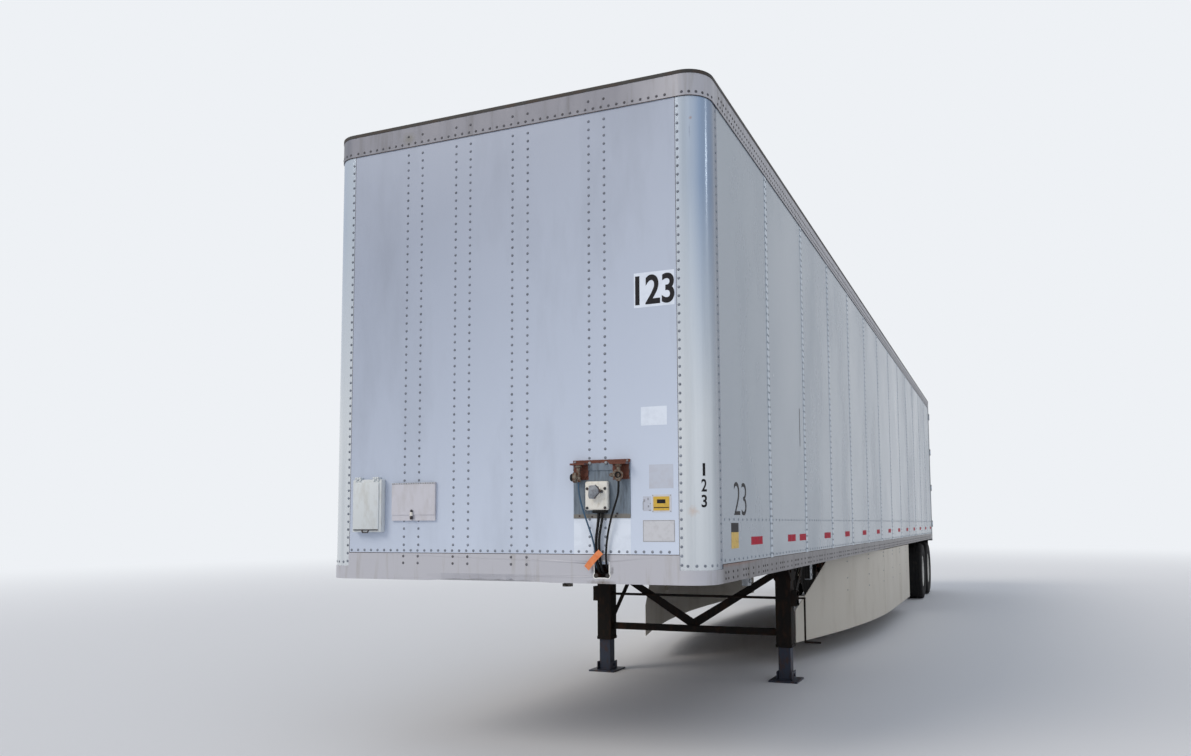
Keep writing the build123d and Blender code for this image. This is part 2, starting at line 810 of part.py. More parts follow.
with BuildPart() as document_lid:
    lid_z = (box_z[0], box_z[1] - 4)
    lid_back = tray_face - lid_gap
    bar(box_x, (lid_back - lid_flange, lid_back), lid_z)
    pan_x = (box_x[0] + pan_inset, box_x[1] - pan_inset)
    bar(pan_x, (lid_back - lid_depth, lid_back - lid_flange), (lid_z[0] + pan_inset, lid_z[1] - pan_inset))
    for inset in (box_x[0] + lug_inset, box_x[1] - lug_inset):
        for side in sides:
            ear = sorted((inset + side * 9, inset + side * lug_width))
            bar(ear, (tray_face - lid_gap - lid_depth, tray_face - 3), (box_z[1] - 10, lid_pin[1]))
            rod((ear[0], *lid_pin), (ear[1], *lid_pin), lid_knuckle_radius)
            rod((ear[0], *lid_pin), (ear[1], *lid_pin), lid_pin_radius + 0.3, mode=Mode.SUBTRACT)
save(document_lid.part, "document_lid")

# Permit holder: a shallow pocket and its cover, on a long hinge at the top
frame_x, frame_z = spans(permit_frame, -half)
pocket_face = wall_face - 12
pocket_border = 12
cover_sheet = 3
hinge_axis = (pocket_face - 2, frame_z[1] + 5)
with BuildPart() as permit_pocket:
    bar(frame_x, (pocket_face, wall_face), frame_z)
    bar(
        (frame_x[0] + pocket_border, frame_x[1] - pocket_border),
        (pocket_face, wall_face - 2),
        (frame_z[0] + permit_strip, frame_z[1] - pocket_border),
        mode=Mode.SUBTRACT,
    )
    for end in (frame_x[0], frame_x[1] - 8):
        bar((end, end + 8), (hinge_axis[0] - 4, wall_face), (frame_z[1], hinge_axis[1] + 4))
    rod((frame_x[0], *hinge_axis), (frame_x[1], *hinge_axis), 2)
save(permit_pocket.part, "permit_frame")

with BuildPart() as permit_cover:
    cover_back = pocket_face - lid_gap
    bar(frame_x, (cover_back - cover_sheet, cover_back), (frame_z[0] + permit_strip, frame_z[1] - 2))
    knuckle = (frame_x[0] + pocket_border, frame_x[1] - pocket_border)
    bar(knuckle, (cover_back - cover_sheet, cover_back - 0.5), (frame_z[1] - 10, hinge_axis[1]))
    rod((knuckle[0], *hinge_axis), (knuckle[1], *hinge_axis), 4)
    rod((knuckle[0], *hinge_axis), (knuckle[1], *hinge_axis), 2.3, mode=Mode.SUBTRACT)
save(permit_cover.part, "permit_cover")

# Side skirts: flared in plan to an arc that meets its straight run, with struts up to the cross members
flare = front + skirt_tangent
flare_run = skirt_tangent - skirt_front
flare_in = skirt_rear_x - skirt_front_x
skirt_radius = (flare_run**2 + flare_in**2) / (2 * flare_in)
skirt_low = body_bottom - skirt_drop
skirt_high = body_bottom - skirt_top_gap


def skirt_x(y):
    """The skirt's outer face at a place along the trailer."""
    ahead = max(0, flare - y)
    return skirt_rear_x - skirt_radius + sqrt(skirt_radius**2 - ahead**2)


with BuildPart() as skirts:
    with BuildSketch(Plane.XY.offset(skirt_low)):
        with BuildLine():
            nose = front + skirt_front
            tail = front + skirt_rear
            inner = skirt_radius - skirt_sheet
            inner_x = skirt_rear_x - skirt_radius + sqrt(inner**2 - flare_run**2)
            RadiusArc((skirt_front_x, nose), (skirt_rear_x, flare), -skirt_radius)
            Line((skirt_rear_x, flare), (skirt_rear_x, tail))
            Line((skirt_rear_x, tail), (skirt_rear_x - skirt_sheet, tail))
            Line((skirt_rear_x - skirt_sheet, tail), (skirt_rear_x - skirt_sheet, flare))
            RadiusArc((skirt_rear_x - skirt_sheet, flare), (inner_x, nose), inner)
            Line((inner_x, nose), (skirt_front_x, nose))
        make_face()
    extrude(amount=skirt_high - skirt_low)
    prism(
        Plane.YZ.offset(skirt_front_x - 100),
        ((nose - 10, skirt_high + 10), (nose + skirt_slant[0], skirt_high + 10), (nose - 10, skirt_high - skirt_slant[1])),
        600,
        mode=Mode.SUBTRACT,
    )
    strut_beams = [y for y in beam_places if nose + skirt_slant[0] < y < tail]
    for place in strut_beams[1::3]:
        face = skirt_x(place) - skirt_sheet
        strut_in = face - skirt_strut_reach
        strut_low = skirt_low + skirt_strut_low
        arm_low = body_bottom - skirt_strut_width * 0.7
        prism(
            Plane.XZ.offset(-(place + skirt_strut_width / 2)),
            (
                (face + 2, strut_low),
                (face + 2, body_bottom),
                (strut_in, body_bottom),
                (strut_in, beam_bottom),
                (strut_in - 1.5 * skirt_strut_width, beam_bottom),
                (strut_in - 1.5 * skirt_strut_width, arm_low),
                (face - skirt_strut_width, arm_low),
                (face - skirt_strut_width, strut_low),
            ),
            skirt_strut_width,
        )
    mirror(about=Plane.YZ)
save(skirts.part, "skirts")

# Slider rails on the body
rear_axle = rear - rear_axle_ahead
front_axle = rear_axle - axle_spacing
bogie_front = front_axle - bogie_overhangs[0]
bogie_back = rear_axle + bogie_overhangs[1]
web_inner = frame_rail_outer + running_gap
with BuildPart() as slider_rails:
    run = (bogie_front - slide_travel - slider_lead, rear - slider_tail)
    web_low = beam_bottom - body_slide_rail_depth
    bar((web_inner, web_inner + plate_steel), run, (web_low, beam_bottom))
    bar((web_inner, web_inner + slider_flange), run, (beam_bottom - plate_steel, beam_bottom))
    bar((web_inner, web_inner + slider_flange), run, (web_low, web_low + plate_steel))
    mirror(about=Plane.YZ)
save(slider_rails.part, "slider_rails")

# Underride guard below the sill
guard_half = half - guard_inset
guard_back = rear - 10
guard_top = guard_height + guard_bar
with BuildPart() as underride_guard:
    bar((-guard_half, guard_half), (guard_back - guard_bar, guard_back), (guard_height, guard_top))
    for side in sides:
        post_x = sorted(side * x for x in guard_posts)
        bar(post_x, (guard_back - 80, guard_back - 20), (guard_top, body_bottom - sill_drop))
save(underride_guard.part, "underride_guard")

# Mud flaps under the last cross member
flap_y = beam_places[-1]
with BuildPart() as mud_flaps:
    flap_out = half - flap_inset
    bar((flap_out - flap_width, flap_out), (flap_y - flap_sheet / 2, flap_y + flap_sheet / 2), (flap_ground, beam_bottom))
    mirror(about=Plane.YZ)
save(mud_flaps.part, "mud_flaps")

# Bogie frame: two rails, cross beams, hangers and their pins, and the air tank under a cross beam
frame_top = beam_bottom - running_gap
frame_low = frame_top - frame_rail_height
pivot_ahead = 560
pivot_height = 625
pivot_pin = 20
pivot_eye = 42
spring_behind = 330
axles = (front_axle, rear_axle)
hanger_sheet = 10
arm_x = (frame_rail_inner + hanger_sheet + 4, frame_rail_outer - hanger_sheet - 4)
with BuildPart() as bogie_frame:
    bar((frame_rail_inner, frame_rail_outer), (bogie_front, bogie_back), (frame_low, frame_top))
    bar(
        (frame_rail_inner + slide_pad_inset, frame_rail_outer - slide_pad_inset),
        (bogie_front + slide_pad_inset, bogie_back - slide_pad_inset),
        (frame_top, beam_bottom - slide_seat_gap),
    )
    for axle in axles:
        pivot = axle - pivot_ahead
        for cheek in (frame_rail_inner, frame_rail_outer - hanger_sheet):
            prism(
                Plane.YZ.offset(cheek),
                (
                    (pivot - 150, frame_low),
                    (pivot - 60, pivot_height - 60),
                    (pivot + 60, pivot_height - 60),
                    (pivot + 110, frame_low),
                ),
                hanger_sheet,
            )
        rod((frame_rail_inner, pivot, pivot_height), (frame_rail_outer, pivot, pivot_height), pivot_pin)
    mirror(about=Plane.YZ)
    for axle in axles:
        for place in (axle - pivot_ahead, axle + spring_behind - 60):
            bar((-frame_rail_inner, frame_rail_inner), (place - 50, place + 50), (frame_low, frame_low + 70))
    tank_y, tank_z = front_axle - pivot_ahead, frame_low - tank_radius + 12
    rod((-tank_length / 2, tank_y, tank_z), (tank_length / 2, tank_y, tank_z), tank_radius, flats=24)
save(bogie_frame.part, "bogie_frame")

# Trailing arms from the hangers over the axles to the air springs
arm_low = tyre_radius + axle_radius + 12
arm_high = arm_low + 75
seat_top = arm_high + 10
with BuildPart() as trailing_arms:
    for axle in axles:
        pivot = axle - pivot_ahead
        spring = axle + spring_behind
        with BuildSketch(Plane.YZ.offset(arm_x[0])):
            with BuildLine():
                Polyline(
                    (pivot, pivot_height + pivot_eye),
                    (spring + 90, arm_high),
                    (spring + 90, arm_low + 20),
                    (pivot, pivot_height - pivot_eye),
                    close=True,
                )
            make_face()
            with Locations((pivot, pivot_height)):
                Circle(pivot_eye)
                Circle(pivot_pin + 0.4, mode=Mode.SUBTRACT)
        extrude(amount=arm_x[1] - arm_x[0])
        bar(arm_x, (axle - 70, axle + 70), (tyre_radius + axle_radius, arm_low + 30))
        bar((arm_x[0] - 60, arm_x[1] + 60), (spring - 100, spring + 90), (arm_high, seat_top))
    mirror(about=Plane.YZ)
save(trailing_arms.part, "trailing_arms")

# Air springs between the arms' seats and the frame
spring_x = (frame_rail_inner + frame_rail_outer) / 2
spring_outline = (
    (seat_top, 80),
    (seat_top + 90, 95),
    (seat_top + 120, 122),
    (frame_low - 20, 122),
    (frame_low, 100),
)
with BuildPart() as air_springs:
    for axle in axles:
        turned((spring_x, axle + spring_behind, 0), (0, 0, 1), spring_outline, 24)
    mirror(about=Plane.YZ)
save(air_springs.part, "air_springs")

# Axles: a tube with a spindle at each end, and brake chambers on brackets
spindle_end = wheel_back + 208
brake_z = tyre_radius + 100
with BuildPart() as axle_beams:
    for axle in axles:
        rod((-axle_tube_half, axle, tyre_radius), (axle_tube_half, axle, tyre_radius), axle_radius)
        rod((-spindle_end, axle, tyre_radius), (spindle_end, axle, tyre_radius), spindle_radius)
        for side in sides:
            bracket_x = sorted((side * (brake_x - brake_bracket), side * brake_x))
            bar(bracket_x, (axle - 180, axle), (tyre_radius, brake_z + 30))
            rod((side * brake_x, axle - 170, brake_z), (side * brake_x, axle - 340, brake_z), brake_chamber_radius, flats=16)
save(axle_beams.part, "axle_beams")

# Twin tyres and wheels, one body on each end of each axle
wheel_bodies = (
    ("front_roadside", front_axle, 1),
    ("front_curbside", front_axle, -1),
    ("rear_roadside", rear_axle, 1),
    ("rear_curbside", rear_axle, -1),
)
tyre_bore = rim_radius + tyre_clearance
rim_half = rim_width / 2
hub_face = wheel_outer - 40
hub_cap = hub_face + 45
disc_face = wheel_outer - rim_half + disc_depth  # the dished disc, 12 mm thick at the hub
drum_end = wheel_back + drum_depth
bore_end = spindle_end + 6
tyre_outline = (
    (-bead_half, tyre_bore),
    (-bead_half, tyre_bead),
    (-tyre_width / 2, tyre_shoulder),
    (-tyre_tread / 2, tyre_radius),
    (tyre_tread / 2, tyre_radius),
    (tyre_width / 2, tyre_shoulder),
    (bead_half, tyre_bead),
    (bead_half, tyre_bore),
)
wheel_outline = (
    (bore_end, spindle_radius + spindle_clearance),
    (wheel_back, spindle_radius + spindle_clearance),
    (wheel_back, drum_radius),
    (drum_end, drum_radius),
    (drum_end, rim_radius - rim_sheet - 10),
    (wheel_back, rim_radius - rim_sheet - 10),
    (wheel_back, rim_radius),
    (wheel_inner + rim_half, rim_radius),
    (wheel_inner + rim_half, 150),
    (wheel_outer - rim_half, 150),
    (wheel_outer - rim_half, rim_radius),
    (wheel_outer + rim_half, rim_radius),
    (wheel_outer + rim_half, rim_radius - rim_sheet),
    (disc_face + 12, rim_radius - rim_sheet - 11),
    (disc_face - 5, wheel_hub_radius),
    (hub_face, wheel_hub_radius),
    (hub_cap, 60),
)

for name, axle, side in wheel_bodies:
    centre = (0, axle, tyre_radius)
    outwards = (side, 0, 0)
    with BuildPart() as tyres:
        for middle in (wheel_outer, wheel_inner):
            turned(centre, outwards, [(middle + along, radius) for along, radius in tyre_outline], wheel_sides, closed=True)
    save(tyres.part, f"tyres_{name}")
    with BuildPart() as wheel:
        turned(centre, outwards, wheel_outline, wheel_sides)
    save(wheel.part, f"wheels_{name}")
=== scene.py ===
import math

import bpy
from bpy.props import FloatProperty, FloatVectorProperty, IntProperty, PointerProperty, StringProperty
from mathutils import Matrix, Vector


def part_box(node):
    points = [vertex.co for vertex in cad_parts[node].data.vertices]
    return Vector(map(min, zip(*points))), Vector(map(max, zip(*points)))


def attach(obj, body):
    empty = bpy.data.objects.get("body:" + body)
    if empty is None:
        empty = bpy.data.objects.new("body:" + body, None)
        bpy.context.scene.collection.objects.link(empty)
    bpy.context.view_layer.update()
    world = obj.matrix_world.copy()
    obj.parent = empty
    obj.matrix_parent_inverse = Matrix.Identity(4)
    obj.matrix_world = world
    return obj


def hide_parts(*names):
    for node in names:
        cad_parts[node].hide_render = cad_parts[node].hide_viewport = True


bl_info = {
    "name": "Dry van trailer",
    "version": (1, 0, 0),
    "blender": (4, 5, 0),
    "location": "3D View > Sidebar > Trailer",
    "description": "Finishes, fasteners, tyres, lines and fittings of a parked dry van trailer",
    "category": "Object",
}

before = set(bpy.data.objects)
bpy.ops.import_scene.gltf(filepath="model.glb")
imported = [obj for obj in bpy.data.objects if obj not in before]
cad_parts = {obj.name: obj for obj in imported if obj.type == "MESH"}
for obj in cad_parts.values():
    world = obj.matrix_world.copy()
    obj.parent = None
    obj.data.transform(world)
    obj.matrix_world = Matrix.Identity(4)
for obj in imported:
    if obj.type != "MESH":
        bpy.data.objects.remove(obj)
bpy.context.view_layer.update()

# Places read from the frame, in metres
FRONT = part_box("front_rails")[0].y
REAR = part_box("roof_sheet")[1].y
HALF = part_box("roof_sheet")[1].x
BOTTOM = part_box("front_rails")[0].z
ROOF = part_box("roof_sheet")[1].z
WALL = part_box("front_wall")[0].y
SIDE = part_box("side_plates_roadside")[1].x
BEND = 0.160
BEND_X = HALF - BEND
BEND_Y = FRONT + BEND
SKIN = WALL - FRONT
TOP_RAIL = ROOF - 0.152
FRONT_RAIL = BOTTOM + 0.163
SIDE_RAIL = BOTTOM + 0.105
COVER_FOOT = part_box("front_corners")[0].z
SIDE_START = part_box("side_plates_roadside")[0].y
SIDE_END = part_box("side_plates_roadside")[1].y
JOINTS = [FRONT + 1.430 + 1.220 * i for i in range(12)]
FIRST_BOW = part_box("roof_bows")[0].y + 0.020
BOW_PITCH = 0.610
# The opening in the front rail, and the middle and half width of the couplings' brackets
OPENING = (0.650, BOTTOM + 0.0795)
BRACKETS = ((0.5245, 0.0455), (0.7725, 0.0495))
# How far a thin piece reaches into the face that it lies on
SUNK = 0.001
SIDES = (1, -1)
SIDE_NAMES = ((1, "roadside"), (-1, "curbside"))
TREAD = 0.510
WHEEL_X = HALF - 0.145
TWIN = 0.343
AXLES = (5.682, 6.927)
WHEELS = {
    "front_roadside": (WHEEL_X, AXLES[0]),
    "front_curbside": (-WHEEL_X, AXLES[0]),
    "rear_roadside": (WHEEL_X, AXLES[1]),
    "rear_curbside": (-WHEEL_X, AXLES[1]),
}


def linear(text):
    """A hex colour as linear values."""
    parts = [int(text[i : i + 2], 16) / 255 for i in (1, 3, 5)]
    return tuple(p / 12.92 if p <= 0.04045 else ((p + 0.055) / 1.055) ** 2.4 for p in parts)


def opaque(text):
    """A hex colour as linear values with full alpha."""
    return (*linear(text), 1.0)


def colour_choice(name, description, text):
    """A colour that shows in the sidebar."""
    return FloatVectorProperty(name=name, description=description, subtype="COLOR", default=linear(text))


def length_choice(name, description, value):
    """A length that shows in the sidebar."""
    return FloatProperty(name=name, description=description, default=value, unit="LENGTH")


class TrailerColours(bpy.types.PropertyGroup):
    """Colours that an owner would change."""

    panels: colour_choice("Panels", "Paint of the front wall and the doors", "#D3DDEE")
    # The side walls' colour is painted shade: the white paint made darker and bluer than the panels
    sides: colour_choice("Sides", "Paint of the side walls", "#8B96A2")
    skirts: colour_choice("Skirts", "Side skirt panels", "#C4BDB0")
    chassis: colour_choice("Chassis", "Paint of the steel below", "#231F1D")
    tape: colour_choice("Tape", "Red marker tape", "#B01230")
    tag: colour_choice("Tag", "Plastic tag on the lines", "#F2935C")


class TrailerSizes(bpy.types.PropertyGroup):
    """Sizes of the fittings that this file adds."""

    rivet_radius: length_choice("Rivet radius", "Radius of a rivet head", 0.0087)
    rivet_height: length_choice("Rivet height", "Height of a rivet head", 0.003)
    rivet_pitch: length_choice("Rivet pitch", "Distance between rivets", 0.050)
    groove_depth: length_choice("Groove depth", "Depth of the tyres' grooves", 0.012)
    wheel_nuts: IntProperty(name="Wheel nuts", description="Nuts on each wheel", default=10)
    number: StringProperty(name="Number", description="Plain digits on the front", default="123")


def clear():
    """Leaves nothing selected."""
    bpy.ops.object.select_all(action="DESELECT")


def take(obj, link=False):
    """Makes one object the only selected one, linking a new one to the scene first."""
    if link:
        bpy.context.collection.objects.link(obj)
    clear()
    obj.select_set(True)
    bpy.context.view_layer.objects.active = obj
    return obj


def settle(obj):
    """Puts an object's place, turn and scale into its mesh."""
    take(obj)
    bpy.ops.object.transform_apply(location=True, rotation=True, scale=True)
    return obj


def edited(obj, *steps):
    """Runs mesh operators on all of an object, each given as its name and settings."""
    take(obj)
    bpy.ops.object.mode_set(mode="EDIT")
    for name, settings in steps:
        bpy.ops.mesh.select_all(action="SELECT")
        getattr(bpy.ops.mesh, name)(**settings)
    bpy.ops.object.mode_set(mode="OBJECT")
    return obj


def shape(obj, kind, **settings):
    """Adds a modifier and applies it."""
    take(obj)
    added = obj.modifiers.new(kind.title(), kind)
    for name, value in settings.items():
        setattr(added, name, value)
    bpy.ops.object.modifier_apply(modifier=added.name)
    return obj


def thickened(obj, thickness):
    """Gives a sheet its thickness, half to each side."""
    return shape(obj, "SOLIDIFY", thickness=thickness, offset=0)


def span(middle, half):
    """The two values half a width to each side of a middle."""
    return middle - half, middle + half


def block(x, y, z, edge=0.0, segments=2):
    """A block between two values on each axis, with rounded edges."""
    low, high = Vector((min(x), min(y), min(z))), Vector((max(x), max(y), max(z)))
    clear()
    bpy.ops.mesh.primitive_cube_add(size=1, location=(low + high) / 2, scale=high - low)
    made = settle(bpy.context.object)
    if edge:
        shape(made, "BEVEL", width=edge, segments=segments, limit_method="ANGLE")
    return made


def drum(start, reach, radius, sides=24, tip=None, edge=0.0):
    """A round bar or cone that reaches from a point; `tip` is the radius of its far end."""
    start, reach = Vector(start), Vector(reach)
    clear()
    bpy.ops.mesh.primitive_cone_add(
        vertices=sides,
        radius1=radius,
        radius2=radius if tip is None else tip,
        depth=reach.length,
        location=start + reach / 2,
        rotation=reach.to_track_quat("Z", "Y").to_euler(),
    )
    made = settle(bpy.context.object)
    if edge:
        shape(made, "BEVEL", width=edge, segments=2, limit_method="ANGLE", angle_limit=math.radians(60))
    return made


def new_mesh(points, edges=(), faces=()):
    """A mesh object from its points."""
    mesh = bpy.data.meshes.new("piece")
    mesh.from_pydata([tuple(p) for p in points], edges, faces)
    return take(bpy.data.objects.new("piece", mesh), link=True)


def close_up(obj):
    """Merges what coincides and turns every face outwards."""
    merge = ("remove_doubles", {"threshold": 1e-5})
    return edited(obj, merge, ("normals_make_consistent", {"inside": False}))


def turned(profile, centre=(0, 0, 0), axis=(1, 0, 0), *, steps):
    """A profile of (along, radius) pairs spun about an axis through a point."""
    axis, centre = Vector(axis).normalized(), Vector(centre)
    side = axis.orthogonal().normalized()
    points = [centre + axis * along + side * radius for along, radius in profile]
    made = new_mesh(points, [(i, i + 1) for i in range(len(profile) - 1)])
    edited(made, ("spin", {"steps": steps, "angle": 2 * math.pi, "center": centre, "axis": axis}))
    return close_up(made)


def pick(obj, test):
    """Selects the faces that pass a test of their centre and normal, and stays in edit mode."""
    take(obj)
    bpy.ops.object.mode_set(mode="EDIT")
    bpy.ops.mesh.select_mode(type="FACE")
    bpy.ops.mesh.select_all(action="DESELECT")
    bpy.ops.object.mode_set(mode="OBJECT")
    for face in obj.data.polygons:
        face.select = test(face.center, face.normal)
    bpy.ops.object.mode_set(mode="EDIT")


def hollowed(obj, wall, depth):
    """Sinks the face that looks forward, leaving a wall round it."""
    pick(obj, lambda centre, normal: normal.y < -0.999)
    bpy.ops.mesh.inset(thickness=wall)
    bpy.ops.mesh.extrude_region_move(TRANSFORM_OT_translate={"value": (0, depth, 0)})
    bpy.ops.object.mode_set(mode="OBJECT")
    return obj


def plate(x, z, thick, edge=0.0):
    """A thin plate on the front wall, between two places across and two up from the rails' underside."""
    return block(x, (WALL - thick, WALL + 0.0005), (BOTTOM + z[0], BOTTOM + z[1]), edge, segments=1)


def copied(obj, offset=(0, 0, 0), turn=None):
    """A copy with its own mesh, moved or turned."""
    twin = obj.copy()
    twin.data = obj.data.copy()
    bpy.context.collection.objects.link(twin)
    twin.data.transform(turn or Matrix.Translation(offset))
    return twin


def mirrored(pieces):
    """The roadside's pieces and the same on the curbside."""
    twins = [copied(one, turn=Matrix.Scale(-1, 4, (1, 0, 0))) for one in pieces]
    for twin in twins:
        twin.data.flip_normals()
    return pieces + twins


def bolts(places, direction, radius, height, sides=6):
    """Equal bolt heads standing on faces that look one way."""
    head = drum((0, 0, 0), Vector(direction) * height, radius, sides, edge=radius * 0.12)
    made = [copied(head, place) for place in places]
    bpy.data.objects.remove(head)
    return made


def around(obj, count):
    """Copies of a piece in its place and turned evenly about the X axis."""
    made = [copied(obj, turn=Matrix.Rotation(2 * math.pi * i / count, 4, "X")) for i in range(count)]
    bpy.data.objects.remove(obj)
    return made


def in_row(obj, step, count):
    """Repeats a piece along a step."""
    offset = {"use_relative_offset": False, "use_constant_offset": True, "constant_offset_displace": step}
    return shape(obj, "ARRAY", count=count, **offset)


def joined(pieces):
    """One object from several."""
    take(pieces[0])
    for one in pieces:
        one.select_set(True)
    if len(pieces) > 1:
        bpy.ops.object.join()
    return bpy.context.view_layer.objects.active


def dress(pieces, name, body, finish, smooth=30):
    """Joins and names a piece, gives it its finish and sets it on its body."""
    made = joined(pieces)
    made.name = name
    made.data.name = name
    made.data.materials.clear()
    made.data.materials.append(bpy.data.materials[finish])
    if made.type == "MESH" and smooth:
        take(made)
        bpy.ops.object.shade_smooth_by_angle(angle=math.radians(smooth))
    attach(made, body)
    return made


def node(tree, kind, inputs=(), **settings):
    """Adds a shader node with its settings; inputs holds values, sockets, or nodes for their first output."""
    made = tree.nodes.new("ShaderNode" + kind)
    for name, value in settings.items():
        setattr(made, name, value)
    for place, value in dict(inputs).items():
        source = value.outputs[0] if isinstance(value, bpy.types.Node) else value
        if isinstance(source, bpy.types.NodeSocket):
            tree.links.new(source, made.inputs[place])
        else:
            made.inputs[place].default_value = value
    return made


